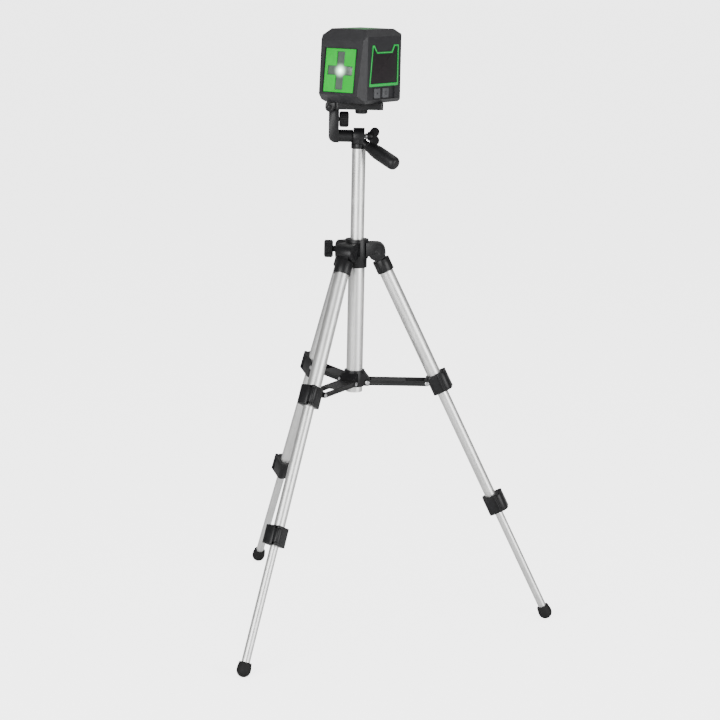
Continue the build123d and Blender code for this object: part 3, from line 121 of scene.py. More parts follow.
def flat_frame(node: str, outward: Vector) -> tuple[Matrix, float, float]:
    """Frame at the middle of a plate's outer face, with z out of it and y upward.

    Args:
        node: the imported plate.
        outward: direction that the outer face looks in, roughly.

    Returns:
        The frame, and the plate's width and height in metres.
    """
    mesh = frame["nodes"][node].data
    faces = [face for face in mesh.polygons if face.normal.dot(outward) > FACING]
    z = max(faces, key=lambda face: face.area).normal.copy()
    x = Vector((0, 0, 1)).cross(z).normalized()
    y = z.cross(x)
    spans = []
    for axis in (x, y, z):
        reach = [vertex.co.dot(axis) for vertex in mesh.vertices]
        spans.append((min(reach), max(reach)))
    middle = x * sum(spans[0]) / 2 + y * sum(spans[1]) / 2 + z * spans[2][1]
    return placed(middle, z, x), spans[0][1] - spans[0][0], spans[1][1] - spans[1][0]


# ------------------------------------------------------------------ meshes
def add_object(name: str, mesh: bpy.types.Mesh) -> bpy.types.Object:
    """Link a mesh into the scene as an object at the origin.

    Args:
        name: the object's name.
        mesh: its mesh.

    Returns:
        The new object.
    """
    obj = bpy.data.objects.new(name, mesh)
    bpy.context.scene.collection.objects.link(obj)
    return obj


def mesh_of(bm: bmesh.types.BMesh, name: str, matrix: Optional[Matrix] = None) -> bpy.types.Mesh:
    """Turn a bmesh into a placed mesh with outward faces, and free the bmesh.

    Args:
        bm: the bmesh.
        name: the mesh's name.
        matrix: frame that the points are taken to, if any.

    Returns:
        The new mesh.
    """
    if matrix is not None:
        bmesh.ops.transform(bm, matrix=matrix, verts=bm.verts)
    bmesh.ops.recalc_face_normals(bm, faces=bm.faces)
    mesh = bpy.data.meshes.new(name)
    bm.to_mesh(mesh)
    bm.free()
    return mesh


def smooth(mesh: bpy.types.Mesh, angle: float = SHARP) -> None:
    """Shade a mesh smooth, apart from edges sharper than an angle in degrees."""
    mesh.shade_smooth()
    mesh.set_sharp_from_angle(angle=radians(angle))


def settled(obj: bpy.types.Object) -> bpy.types.Object:
    """Turn an object's modifiers into plain mesh.

    Args:
        obj: the object, with its modifiers.

    Returns:
        The same object without modifiers.
    """
    graph = bpy.context.evaluated_depsgraph_get()
    mesh = bpy.data.meshes.new_from_object(obj.evaluated_get(graph), depsgraph=graph)
    obj.modifiers.clear()
    obj.data = mesh
    mesh.name = obj.name
    return obj


def bevelled(obj: bpy.types.Object, width: float, sharp: float = SHARP,
             segments: int = 2) -> bpy.types.Object:
    """Round an object's sharp edges.

    Args:
        obj: the object to round.
        width: size of the rounding, in millimetres.
        sharp: angle in degrees above which an edge is rounded.
        segments: facets across each rounded edge.

    Returns:
        The same object with the rounding in its mesh.
    """
    edge = obj.modifiers.new("edge", "BEVEL")
    edge.width = width * MM
    edge.segments = segments
    edge.limit_method = "ANGLE"
    edge.angle_limit = radians(sharp)
    edge.harden_normals = sharp < SHARP
    settled(obj)
    smooth(obj.data, sharp)
    return obj


def turned(name: str, profile: Profile, matrix: Matrix,
           segments: int = TURN_SEGMENTS) -> bpy.types.Object:
    """Turned solid, closed at poles where the profile reaches the axis.

    Args:
        name: the object's name.
        profile: distance along the axis and radius of each ring, in millimetres.
        matrix: frame whose z is the axis.
        segments: facets round the axis.

    Returns:
        The new object.
    """
    bm = bmesh.new()
    angles = [2 * pi * step / segments for step in range(segments)]
    rings = []
    for along, radius in profile:
        if radius < POLE:
            rings.append([bm.verts.new((0, 0, along * MM))])
            continue
        rings.append([bm.verts.new((radius * MM * cos(a), radius * MM * sin(a), along * MM))
                      for a in angles])
    pairs = list(zip(rings, rings[1:]))
    if len(rings[0]) > 1 and len(rings[-1]) > 1:
        pairs.append((rings[-1], rings[0]))
    for lower, upper in pairs:
        for step in range(segments):
            after = (step + 1) % segments
            corners = [lower[step % len(lower)], lower[after % len(lower)],
                       upper[after % len(upper)], upper[step % len(upper)]]
            bm.faces.new(list(dict.fromkeys(corners)))
    mesh = mesh_of(bm, name, matrix)
    smooth(mesh)
    return add_object(name, mesh)


def softened(node: str, width: float, sharp: float = SHARP) -> bpy.types.Object:
    """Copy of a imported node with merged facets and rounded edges, in millimetres.

    Args:
        node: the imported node.
        width: size of the rounding.
        sharp: angle in degrees above which an edge is rounded.

    Returns:
        The new object.
    """
    bm = bmesh.new()
    bm.from_mesh(frame["nodes"][node].data)
    bmesh.ops.remove_doubles(bm, verts=bm.verts, dist=SAME_PLACE)
    bmesh.ops.dissolve_limit(bm, angle_limit=radians(FLAT), verts=bm.verts, edges=bm.edges)
    mesh = bpy.data.meshes.new(f"{node}_shape")
    bm.to_mesh(mesh)
    bm.free()
    stale = mesh.attributes.get("custom_normal")
    if stale is not None:
        mesh.attributes.remove(stale)
    return bevelled(add_object(f"{node}_shape", mesh), width, sharp)


def joined(name: str, pieces: Sequence[bpy.types.Object]) -> bpy.types.Object:
    """Gather the meshes of several objects in one new object.

    Args:
        name: the new object's name.
        pieces: the objects, which are removed.

    Returns:
        The new object.
    """
    bm = bmesh.new()
    for piece in pieces:
        bm.from_mesh(piece.data)
        bpy.data.objects.remove(piece)
    mesh = bpy.data.meshes.new(name)
    bm.to_mesh(mesh)
    bm.free()
    smooth(mesh)
    return add_object(name, mesh)


def swept_outline(bm: bmesh.types.BMesh, outline: Profile, low: float, high: float) -> None:
    """Add a closed prism to a bmesh: an outline in x and y between two heights, in millimetres.

    Args:
        bm: the bmesh.
        outline: corners in order.
        low: lower height.
        high: upper height.
    """
    below = [bm.verts.new((x * MM, y * MM, low * MM)) for x, y in outline]
    above = [bm.verts.new((x * MM, y * MM, high * MM)) for x, y in outline]
    bm.faces.new(below[::-1])
    bm.faces.new(above)
    for here in range(len(outline)):
        after = (here + 1) % len(outline)
        bm.faces.new((below[here], below[after], above[after], above[here]))


def swept_ring(bm: bmesh.types.BMesh, outer: Profile, inner: Profile, low: float, high: float) -> None:
    """Add a closed flat ring between two outlines of as many points, in millimetres.

    Args:
        bm: the bmesh.
        outer: outer corners in order.
        inner: inner corners in the same order.
        low: lower height.
        high: upper height.
    """
    loops = [[bm.verts.new((x * MM, y * MM, z * MM)) for x, y in outline]
             for outline, z in ((outer, low), (outer, high), (inner, high), (inner, low))]
    for here, there in zip(loops, loops[1:] + loops[:1]):
        for step in range(len(outer)):
            after = (step + 1) % len(outer)
            bm.faces.new((here[step], here[after], there[after], there[step]))


def oblong(half_width: float, half_height: float) -> list[tuple[float, float]]:
    """Corners of an upright rectangle round the origin."""
    return [(-half_width, -half_height), (half_width, -half_height), (half_width, half_height),
            (-half_width, half_height)]


def arc(centre: tuple[float, float], radius: float, start: float, end: float,
        steps: int) -> list[tuple[float, float]]:
    """Points along an arc, from one angle to another in degrees."""
    angles = [radians(start + (end - start) * step / steps) for step in range(steps + 1)]
    return [(centre[0] + radius * cos(a), centre[1] + radius * sin(a)) for a in angles]


# ------------------------------------------------------------------ repeated ribs
class RibLayout(Enum):
    """How a run of ribs is laid out."""

    RIM = "ribs round a rim"
    ROW = "ribs in a row"


def rib_tree(layout: RibLayout) -> bpy.types.NodeTree:
    """Geometry Nodes tree that adds a run of round ribs to a body.

    Args:
        layout: round a rim of Radius, or in a row of Pitch, starting at Start.

    Returns:
        The tree, with inputs Count, Rib Radius, Length, Radius, Pitch, Start and Finish.
    """
    tree = bpy.data.node_groups.new(layout.value, "GeometryNodeTree")
    face = tree.interface
    face.new_socket(name="Body", in_out="INPUT", socket_type="NodeSocketGeometry")
    face.new_socket(name="Count", in_out="INPUT", socket_type="NodeSocketInt")
    for name in ("Rib Radius", "Length", "Radius"):
        face.new_socket(name=name, in_out="INPUT", socket_type="NodeSocketFloat")
    for name in ("Pitch", "Start"):
        face.new_socket(name=name, in_out="INPUT", socket_type="NodeSocketVector")
    face.new_socket(name="Finish", in_out="INPUT", socket_type="NodeSocketMaterial")
    face.new_socket(name="Body", in_out="OUTPUT", socket_type="NodeSocketGeometry")
    nodes, links = tree.nodes, tree.links
    given, result = nodes.new("NodeGroupInput"), nodes.new("NodeGroupOutput")
    rib = nodes.new("GeometryNodeMeshCylinder")
    rib.inputs["Vertices"].default_value = RIB_SIDES
    links.new(given.outputs["Rib Radius"], rib.inputs["Radius"])
    links.new(given.outputs["Length"], rib.inputs["Depth"])
    if layout is RibLayout.RIM:
        points = nodes.new("GeometryNodeMeshCircle")
        links.new(given.outputs["Count"], points.inputs["Vertices"])
        links.new(given.outputs["Radius"], points.inputs["Radius"])
    else:
        points = nodes.new("GeometryNodeMeshLine")
        links.new(given.outputs["Count"], points.inputs["Count"])
        links.new(given.outputs["Pitch"], points.inputs["Offset"])
    move = nodes.new("GeometryNodeSetPosition")
    links.new(points.outputs["Mesh"], move.inputs["Geometry"])
    links.new(given.outputs["Start"], move.inputs["Offset"])
    place = nodes.new("GeometryNodeInstanceOnPoints")
    links.new(move.outputs["Geometry"], place.inputs["Points"])
    links.new(rib.outputs["Mesh"], place.inputs["Instance"])
    real = nodes.new("GeometryNodeRealizeInstances")
    links.new(place.outputs["Instances"], real.inputs["Geometry"])
    join = nodes.new("GeometryNodeJoinGeometry")
    links.new(given.outputs["Body"], join.inputs["Geometry"])
    links.new(real.outputs["Geometry"], join.inputs["Geometry"])
    paint = nodes.new("GeometryNodeSetMaterial")
    links.new(join.outputs["Geometry"], paint.inputs["Geometry"])
    links.new(given.outputs["Finish"], paint.inputs["Material"])
    links.new(paint.outputs["Geometry"], result.inputs["Body"])
    return tree


@dataclass(frozen=True)
class Ribs:
    """A run of round ribs, in millimetres, in the body's own frame."""

    layout: RibLayout
    count: int
    rib_radius: float
    length: float
    radius: float = 0.0
    pitch: tuple[float, float, float] = (0.0, 0.0, 0.0)
    start: tuple[float, float, float] = (0.0, 0.0, 0.0)

    def add_to(self, obj: bpy.types.Object, finish: bpy.types.Material,
               matrix: Matrix) -> bpy.types.Object:
        """Put the ribs on an object that lies in a local frame.

        Args:
            obj: the body, at its local place.
            finish: material of the body and its ribs.
            matrix: frame that the finished mesh is taken to.

        Returns:
            The same object, ribbed and in place.
        """
        if self.layout not in RIB_TREES:
            RIB_TREES[self.layout] = rib_tree(self.layout)
        tree = RIB_TREES[self.layout]
        values = {
            "Count": self.count, "Rib Radius": self.rib_radius * MM, "Length": self.length * MM,
            "Radius": self.radius * MM, "Pitch": [v * MM for v in self.pitch],
            "Start": [v * MM for v in self.start], "Finish": finish,
        }
        ribs = obj.modifiers.new("ribs", "NODES")
        ribs.node_group = tree
        for item in tree.interface.items_tree:
            if item.in_out == "INPUT" and item.name in values:
                ribs[item.identifier] = values[item.name]
        settled(obj)
        obj.data.transform(matrix)
        smooth(obj.data)
        return obj


RIB_TREES: dict[RibLayout, bpy.types.NodeTree] = {}
SHADER_GROUPS: dict[str, bpy.types.NodeTree] = {}


# ------------------------------------------------------------------ shared shader groups
def shader_group(name: str, inputs: Sequence[str], outputs: Sequence[str]) -> tuple:
    """Make an empty shader group whose first input is a vector and whose outputs are values.

    Args:
        name: the group's name.
        inputs: names of its value inputs.
        outputs: names of its value outputs.

    Returns:
        The tree, its input node and its output node.
    """
    tree = bpy.data.node_groups.new(name, "ShaderNodeTree")
    tree.interface.new_socket(name="Vector", in_out="INPUT", socket_type="NodeSocketVector")
    for entry in inputs:
        tree.interface.new_socket(name=entry, in_out="INPUT", socket_type="NodeSocketFloat")
    for entry in outputs:
        tree.interface.new_socket(name=entry, in_out="OUTPUT", socket_type="NodeSocketFloat")
    return tree, tree.nodes.new("NodeGroupInput"), tree.nodes.new("NodeGroupOutput")


def grain_group() -> bpy.types.NodeTree:
    """Spark-eroded grain of moulded plastic: a fine Height and a broad Tone."""
    tree, given, result = shader_group("moulded grain", ("Scale",), ("Height", "Tone"))
    cells, cloud, scale = (tree.nodes.new(kind) for kind in
                           ("ShaderNodeTexVoronoi", "ShaderNodeTexNoise", "ShaderNodeMath"))
    cloud.inputs["Detail"].default_value = CLOUD_DETAIL
    scale.operation = "MULTIPLY"
    scale.inputs[1].default_value = CLOUD_SHARE
    links = tree.links
    for node in (cells, cloud):
        links.new(given.outputs["Vector"], node.inputs["Vector"])
    links.new(given.outputs["Scale"], cells.inputs["Scale"])
    links.new(given.outputs["Scale"], scale.inputs[0])
    links.new(scale.outputs[0], cloud.inputs["Scale"])
    links.new(cells.outputs["Distance"], result.inputs["Height"])
    links.new(cloud.outputs["Fac"], result.inputs["Tone"])
    return tree


def streak_group() -> bpy.types.NodeTree:
    """Lines left by drawing a tube, along z: a fine Height and a broad Tone."""
    tree, given, result = shader_group("drawn lines", ("Scale",), ("Height", "Tone"))
    stretch, fine, broad = (tree.nodes.new(kind) for kind in
                            ("ShaderNodeMapping", "ShaderNodeTexNoise", "ShaderNodeTexNoise"))
    stretch.inputs["Scale"].default_value = LINE_STRETCH
    fine.inputs["Detail"].default_value = LINE_DETAIL
    broad.inputs["Scale"].default_value = BROAD_SCALE
    links = tree.links
    links.new(given.outputs["Vector"], stretch.inputs["Vector"])
    links.new(stretch.outputs["Vector"], fine.inputs["Vector"])
    links.new(given.outputs["Vector"], broad.inputs["Vector"])
    links.new(given.outputs["Scale"], fine.inputs["Scale"])
    links.new(fine.outputs["Fac"], result.inputs["Height"])
    links.new(broad.outputs["Fac"], result.inputs["Tone"])
    return tree


def scuff_group() -> bpy.types.NodeTree:
    """Scattered scuffs and handling marks as a Mask."""
    tree, given, result = shader_group("scuffs", ("Scale", "Amount"), ("Mask",))
    stretch, noise, limit = (tree.nodes.new(kind) for kind in
                             ("ShaderNodeMapping", "ShaderNodeTexNoise", "ShaderNodeMapRange"))
    stretch.inputs["Rotation"].default_value = SCUFF_TURN
    stretch.inputs["Scale"].default_value = SCUFF_STRETCH
    noise.inputs["Detail"].default_value = SCUFF_DETAIL
    noise.inputs["Roughness"].default_value = SCUFF_ROUGHNESS
    limit.inputs["From Min"].default_value = SCUFF_START
    limit.inputs["From Max"].default_value = SCUFF_END
    links = tree.links
    links.new(given.outputs["Vector"], stretch.inputs["Vector"])
    links.new(stretch.outputs["Vector"], noise.inputs["Vector"])
    links.new(given.outputs["Scale"], noise.inputs["Scale"])
    links.new(noise.outputs["Fac"], limit.inputs["Value"])
    links.new(given.outputs["Amount"], limit.inputs["To Max"])
    links.new(limit.outputs["Result"], result.inputs["Mask"])
    return tree


def use_group(nodes: bpy.types.Nodes, name: str, **values: float) -> bpy.types.Node:
    """Place a shared group in a material with its own values.

    Args:
        nodes: the material's nodes.
        name: the group: grain, streaks or scuffs.
        values: the group's inputs.

    Returns:
        The group's node.
    """
    makers = {"grain": grain_group, "streaks": streak_group, "scuffs": scuff_group}
    if name not in SHADER_GROUPS:
        SHADER_GROUPS[name] = makers[name]()
    node = nodes.new("ShaderNodeGroup")
    node.node_tree = SHADER_GROUPS[name]
    for key, value in values.items():
        node.inputs[key].default_value = value
    return node


def colour_mix(nodes: bpy.types.Nodes, links: bpy.types.NodeLinks, factor: bpy.types.NodeSocket,
               low: Colour, high: Colour) -> tuple[bpy.types.NodeSocket, bpy.types.NodeSocket]:
    """Mix two colours by a varying factor.

    Args:
        nodes: the material's nodes.
        links: the material's links.
        factor: output that chooses between the colours.
        low: colour at 0.
        high: colour at 1.

    Returns:
        The input of the colour at 0, and the mixed colour.
    """
    mix = nodes.new("ShaderNodeMix")
    mix.data_type = "RGBA"
    ends = [socket for socket in mix.inputs if socket.type == "RGBA"]
    for end, colour in zip(ends, (low, high)):
        end.default_value = (*colour, 1)
    links.new(factor, mix.inputs["Factor"])
    return ends[0], next(socket for socket in mix.outputs if socket.type == "RGBA")


# ------------------------------------------------------------------ finishes
class Surface(Enum):
    """Which shared pattern a finish carries."""

    GRAIN = "grain"
    STREAKS = "streaks"


@dataclass(frozen=True)
class Finish:
    """A surface finish built from shared patterns; lengths are in millimetres."""

    name: str
    dark: Colour
    light: Colour
    roughness: tuple[float, float]
    surface: Surface = Surface.GRAIN
    grain: float = 0.35
    relief: float = 0.02
    scuffs: float = 0.25
    metallic: float = 0.0
    coat: float = 0.0
    specular: float = 0.5
    # painted glow: emission strength that makes a part shine though it is no lamp
    painted_glow: float = 0.0
    clear: float = 0.0
    along: tuple[float, float, float] = (0.0, 0.0, 1.0)

    def material(self) -> bpy.types.Material:
        """Build the material, or return it if it is already there."""
        found = bpy.data.materials.get(self.name)
        if found is not None:
            return found
        material = bpy.data.materials.new(self.name)
        material.use_nodes = True
        nodes, links = material.node_tree.nodes, material.node_tree.links
        skin = nodes["Principled BSDF"]
        place = nodes.new("ShaderNodeTexCoord")
        turn = nodes.new("ShaderNodeMapping")
        axis = Vector(self.along).normalized()
        turn.inputs["Rotation"].default_value = axis.rotation_difference(Vector((0, 0, 1))).to_euler()
        links.new(place.outputs["Object"], turn.inputs["Vector"])
        pattern = use_group(nodes, self.surface.value, Scale=1000 / self.grain)
        marks = use_group(nodes, "scuffs", Scale=SCUFF_SCALE, Amount=self.scuffs)
        for node in (pattern, marks):
            links.new(turn.outputs["Vector"], node.inputs["Vector"])
        faded = tuple(min(1, c * WORN_GAIN + WORN_LIFT) for c in self.light)
        _, tinted = colour_mix(nodes, links, pattern.outputs["Tone"], self.dark, self.light)
        fresh, worn = colour_mix(nodes, links, marks.outputs["Mask"], (0, 0, 0), faded)
        links.new(tinted, fresh)
        links.new(worn, skin.inputs["Base Color"])
        rough = nodes.new("ShaderNodeMapRange")
        rough.inputs["To Min"].default_value, rough.inputs["To Max"].default_value = self.roughness
        links.new(pattern.outputs["Tone"], rough.inputs["Value"])
        links.new(rough.outputs["Result"], skin.inputs["Roughness"])
        bump = nodes.new("ShaderNodeBump")
        bump.inputs["Strength"].default_value = BUMP_STRENGTH
        bump.inputs["Distance"].default_value = self.relief * MM
        links.new(pattern.outputs["Height"], bump.inputs["Height"])
        links.new(bump.outputs["Normal"], skin.inputs["Normal"])
        skin.inputs["Metallic"].default_value = self.metallic
        skin.inputs["Specular IOR Level"].default_value = self.specular
        skin.inputs["Coat Weight"].default_value = self.coat
        skin.inputs["Transmission Weight"].default_value = self.clear
        # painted glow: the finish's colour, after wear, is emitted as light
        if self.painted_glow:
            links.new(worn, skin.inputs["Emission Color"])
            skin.inputs["Emission Strength"].default_value = self.painted_glow
        return material


def tube_finish(name: str, along: Vector) -> Finish:
    """Satin drawn aluminium with its lines along one direction."""
    return Finish(name, (0.66, 0.66, 0.65), (0.84, 0.84, 0.83), (0.34, 0.50), surface=Surface.STREAKS,
                  grain=0.5, relief=0.010, scuffs=0.12, metallic=1.0, along=tuple(along))


BLACK = Finish("black moulded plastic", (0.0025, 0.0025, 0.003), (0.007, 0.007, 0.008), (0.30, 0.46),
               scuffs=0.05, specular=0.30)
GLOSS_BLACK = Finish("black enamel", (0.002, 0.002, 0.0025), (0.006, 0.006, 0.007), (0.38, 0.50),
                     grain=0.6, relief=0.01, scuffs=0.08, specular=0.34)
RUBBER = Finish("black rubber", (0.004, 0.004, 0.004), (0.010, 0.010, 0.010), (0.56, 0.76),
                grain=0.5, relief=0.04, scuffs=0.12, specular=0.25)
GRIP = Finish("grip rubber", (0.003, 0.003, 0.0035), (0.008, 0.008, 0.009), (0.36, 0.52),
              grain=0.3, relief=0.02, scuffs=0.10, specular=0.30)
CHARCOAL = Finish("charcoal housing", (0.010, 0.010, 0.0115), (0.021, 0.021, 0.0235), (0.34, 0.48),
                  grain=0.45, relief=0.03, scuffs=0.05, specular=0.42)
PANEL = Finish("dark side panel", (0.010, 0.008, 0.009), (0.019, 0.015, 0.017), (0.36, 0.5),
               grain=0.6, scuffs=0.08, specular=0.2)
# The green plate and side trims carry a painted glow: they emit light though they are no lamps.
GREEN = Finish("bright green plate", (0.0, 0.33, 0.022), (0.0, 0.44, 0.034), (0.40, 0.52),
               grain=0.8, relief=0.006, scuffs=0.0, specular=0.08, painted_glow=0.35)
GREEN_TRIM = Finish("green side trim", (0.0, 0.28, 0.035), (0.005, 0.42, 0.07), (0.28, 0.40),
                    grain=0.8, relief=0.006, scuffs=0.02, specular=0.25, painted_glow=0.30)
GREEN_TOP = Finish("green top panel", (0.005, 0.20, 0.03), (0.02, 0.30, 0.06), (0.24, 0.36),
                   grain=0.8, relief=0.006, scuffs=0.05, specular=0.4)
BUTTON = Finish("grey button", (0.055, 0.056, 0.060), (0.095, 0.097, 0.102), (0.40, 0.55),
                grain=0.4, specular=0.3)
SYMBOL = Finish("dark symbol", (0.004, 0.004, 0.004), (0.010, 0.010, 0.010), (0.4, 0.5),
                grain=0.4, specular=0.2)
STEEL = Finish("plain steel", (0.46, 0.46, 0.47), (0.64, 0.64, 0.65), (0.22, 0.38),
               grain=0.4, relief=0.008, metallic=1.0)
BRASS = Finish("turned brass", (0.55, 0.38, 0.16), (0.74, 0.55, 0.26), (0.22, 0.36),
               grain=0.4, relief=0.008, metallic=1.0)
CELL = Finish("cell wrap", (0.02, 0.024, 0.032), (0.045, 0.05, 0.06), (0.22, 0.34),
              grain=0.7, relief=0.006)
WINDOW = Finish("smoked window", (0.075, 0.105, 0.085), (0.15, 0.19, 0.16), (0.12, 0.24),
                grain=0.9, relief=0.004, scuffs=0.03, clear=0.25)
# painted glint: this lens emits light and stands in for a glint behind the window
PAINTED_GLINT_LENS = Finish("lit lens", (0.55, 1.0, 0.62), (0.85, 1.0, 0.88), (0.05, 0.1),
              grain=0.9, relief=0.002, scuffs=0.0, painted_glow=6.0)


def paint_glint(material: bpy.types.Material, centre: Vector, reach: float, strength: float,
              colour: Colour = (0.62, 1.0, 0.70), falloff: float = 3.0) -> None:
    """Paint a glint on a material: it shines round a point.

    Args:
        material: the material that carries the painted glint.
        centre: the brightest point, in metres.
        reach: distance at which the painted glint ends, in millimetres.
        strength: emission of the painted glint at the centre.
        colour: colour of the painted glint.
        falloff: power by which it fades outwards.
    """
    nodes, links = material.node_tree.nodes, material.node_tree.links
    skin = nodes["Principled BSDF"]
    place, spot, ball, curve = (nodes.new(kind) for kind in (
        "ShaderNodeTexCoord", "ShaderNodeMapping", "ShaderNodeTexGradient", "ShaderNodeMath"))
    spot.vector_type = "TEXTURE"
    spot.inputs["Location"].default_value = centre
    spot.inputs["Scale"].default_value = [reach * MM] * 3
    ball.gradient_type = "SPHERICAL"
    curve.operation = "POWER"
    curve.inputs[1].default_value = falloff
    links.new(place.outputs["Object"], spot.inputs["Vector"])
    links.new(spot.outputs["Vector"], ball.inputs["Vector"])
    links.new(ball.outputs["Fac"], curve.inputs[0])
    _, glint_colour = colour_mix(nodes, links, curve.outputs[0], (0, 0, 0), colour)
    links.new(glint_colour, skin.inputs["Emission Color"])
    skin.inputs["Emission Strength"].default_value = strength


def dress(obj: bpy.types.Object, finish: Finish) -> bpy.types.Object:
    """Give an object one finish all over.

    Args:
        obj: the object.
        finish: its finish.

    Returns:
        The same object.
    """
    material = finish.material()
    if obj.material_slots:
        for entry in obj.material_slots:
            entry.material = material
    else:
        obj.data.materials.append(material)
    return obj


def stand_in(obj: bpy.types.Object, node: str, finish: Finish) -> bpy.types.Object:
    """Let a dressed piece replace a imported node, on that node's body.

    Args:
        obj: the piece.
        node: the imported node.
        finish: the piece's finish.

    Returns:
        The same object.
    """
    dress(obj, finish)
    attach(obj, BODY_OF[node])
    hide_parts(node)
    log.info("%s replaces %s", obj.name, node)
    return obj


def extra(obj: bpy.types.Object, body: str, finish: Finish) -> bpy.types.Object:
    """Dress a small extra piece and let it ride on a body.

    Args:
        obj: the piece.
        body: the body that carries it.
        finish: its finish.

    Returns:
        The same object.
    """
    dress(obj, finish)
    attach(obj, body)
    log.info("%s rides on %s", obj.name, body)
    return obj


BODY_OF = {node: body for body, members in frame["record"]["behaviour"]["bodies"].items()
           for node in members}


def soften_all(roundings: Roundings, finish: Finish, sharp: float = SHARP) -> None:
    """Replace nodes by their softened shapes in one finish.

    Args:
        roundings: each node and its rounding, in millimetres.
        finish: the finish they share.
        sharp: angle in degrees above which an edge is rounded.
    """
    for node, width in roundings:
        stand_in(softened(node, width, sharp), node, finish)


@dataclass
class Tube:
    """A drawn tube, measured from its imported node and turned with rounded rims."""

    node: str
    origin: Vector
    along: Vector
    finish: Finish
    rim: float = 0.25

    def build(self) -> bpy.types.Object:
        """Turn the tube and let it replace its node."""
        matrix = placed(self.origin, self.along)
        back = matrix.inverted()
        points = [back @ vertex.co for vertex in frame["nodes"][self.node].data.vertices]
        heights = [point.z / MM for point in points]
        radii = [point.xy.length / MM for point in points]
        low, high, inner, outer = min(heights), max(heights), min(radii), max(radii)
        r = self.rim
        profile = [
            (low + r, outer), (high - r, outer), (high, outer - r), (high, inner + r),
            (high - r, inner), (low + r, inner), (low, inner + r), (low, outer - r),
        ]
        return stand_in(turned(f"{self.node}_shape", profile, matrix), self.node, self.finish)


# ------------------------------------------------------------------ legs
@dataclass
class LockLever:
    """Flip lever that hugs the outer corner of its lock, ribbed at its free end. Millimetres."""

    leg: str
    level: str
    length: float
    hinge: tuple[float, float] = (7.1, 12.5)
    corner: tuple[float, float] = (-4.6, 6.0)
    inner_radius: float = 5.45
    thickness: float = 2.5
    free_end: tuple[float, float, float] = (2.6, 2.0, 2.8)
    chamfer: float = 0.6
    rise: Profile = ((-0.6, 0.5), (3.4, 0.6))
    root_start: tuple[float, float] = (3.0, 0.5)
    barrel_radius: float = 2.5
    shoulder: float = 0.4
    waist: tuple[float, float] = (1.8, 1.2)
    pin_radius: float = 1.2
    cheek: float = 3.3
    lip: float = 0.6
    rounding: float = 0.45
    rib_count: int = 3
    rib_radius: float = 0.5
    rib_pitch: float = 1.7
    first_rib: tuple[float, float] = (0.15, 3.6)
    rib_margin: float = 4.0

    def sections(self) -> tuple[Profile, Profile, Profile]:
        """Outlines of the plate, its root and its pin, square to the hinge."""
        (cx, cy), (hinge_x, hinge_y) = self.corner, self.hinge
        outer = self.inner_radius + self.thickness
        wall, back = cy + self.inner_radius, cy + outer
        inner_end, tip, outer_end = self.free_end
        plate = [(self.rise[-1][0], wall)] + arc(self.corner, self.inner_radius, 90, 180, 6)
        plate += [(cx - self.inner_radius, inner_end), (cx - outer + self.chamfer, tip)]
        plate += [(cx - outer, outer_end)] + arc(self.corner, outer, 180, 90, 8)
        plate += [(x, back + swell) for x, swell in self.rise]
        start, swell = self.root_start
        root = [(start, wall), (start, back + swell)]
        root += [(hinge_x - self.shoulder, hinge_y + self.barrel_radius)]
        root += arc(self.hinge, self.barrel_radius, 80, -90, 10)
        root += [(hinge_x - self.waist[0], hinge_y - self.waist[1])]
        return plate, root, arc(self.hinge, self.pin_radius, 0, 345, 23)

    def build(self) -> bpy.types.Object:
        """Make the lever in its lock's section, where the hinge is parallel to the leg."""
        name = f"leg_{self.leg}_{self.level}_lever"
        entry = joint(f"{name}_turn")
        tangent = Vector(joint(f"leg_{self.leg}_fold")["axis"])
        matrix = placed(Vector(entry["pos_m"]), -Vector(entry["axis"]), tangent)
        matrix = matrix @ Matrix.Translation((-self.hinge[0] * MM, -self.hinge[1] * MM, 0))
        bm = bmesh.new()
        for outline, margin in zip(self.sections(), (self.lip, self.cheek, 0.0)):
            reach = self.length / 2 - margin
            swept_outline(bm, outline, -reach, reach)
        obj = bevelled(add_object(f"{name}_shape", mesh_of(bm, name)), self.rounding)
        inward, up = self.first_rib
        face = self.corner[0] - (self.inner_radius + self.thickness)
        ribs = Ribs(RibLayout.ROW, self.rib_count, self.rib_radius, self.length - self.rib_margin,
                    pitch=(0.0, self.rib_pitch, 0.0), start=(face + inward, up, 0.0))
        ribs.add_to(obj, BLACK.material(), matrix)
        return stand_in(obj, name, BLACK)


@dataclass
class Foot:
    """Rubber cap over the end of a leg, worn flat where it stands. Millimetres from its top."""

    leg: str
    pivot: Vector
    down: Vector
    radius: float = 8.5
    neck: float = 7.5
    shank: float = 9.0
    bore: float = 5.05
    depth: float = 6.0
    rim: Profile = ((0.0, -0.7), (0.25, -0.2), (0.8, 0.0), (3.0, 0.35))
    swell: Profile = ((5.5, -0.2), (7.5, 0.0))

    def build(self) -> bpy.types.Object:
        """Turn the cap, cut it level with the floor and let it replace its node."""
        node = f"leg_{self.leg}_foot"
        mesh = frame["nodes"][node].data
        top = min((vertex.co - self.pivot).dot(self.down) for vertex in mesh.vertices)
        bottom = min(vertex.co.z for vertex in mesh.vertices)
        profile = [(self.depth, 0.0), (self.depth, self.bore), (0.0, self.bore)]
        profile += [(along, self.neck + out) for along, out in self.rim]
        profile += [(along, self.radius + out) for along, out in self.swell]
        dome = arc((0, 0), self.radius, 0, 90, 10)[:-1]
        profile += [(self.shank + height, out) for out, height in dome]
        profile.append((self.shank + self.radius, 0.0))
        cap = turned(f"{node}_shape", profile, placed(self.pivot + self.down * top, self.down))
        bm = bmesh.new()
        bm.from_mesh(cap.data)
        whole = bm.verts[:] + bm.edges[:] + bm.faces[:]
        cut = bmesh.ops.bisect_plane(bm, geom=whole, plane_co=(0, 0, bottom), plane_no=(0, 0, -1),
                                     clear_outer=True)
        edges = [item for item in cut["geom_cut"] if isinstance(item, bmesh.types.BMEdge)]
        bmesh.ops.contextual_create(bm, geom=edges)
        bmesh.ops.recalc_face_normals(bm, faces=bm.faces)
        bm.to_mesh(cap.data)
        bm.free()
        smooth(cap.data)
        return stand_in(cap, node, RUBBER)


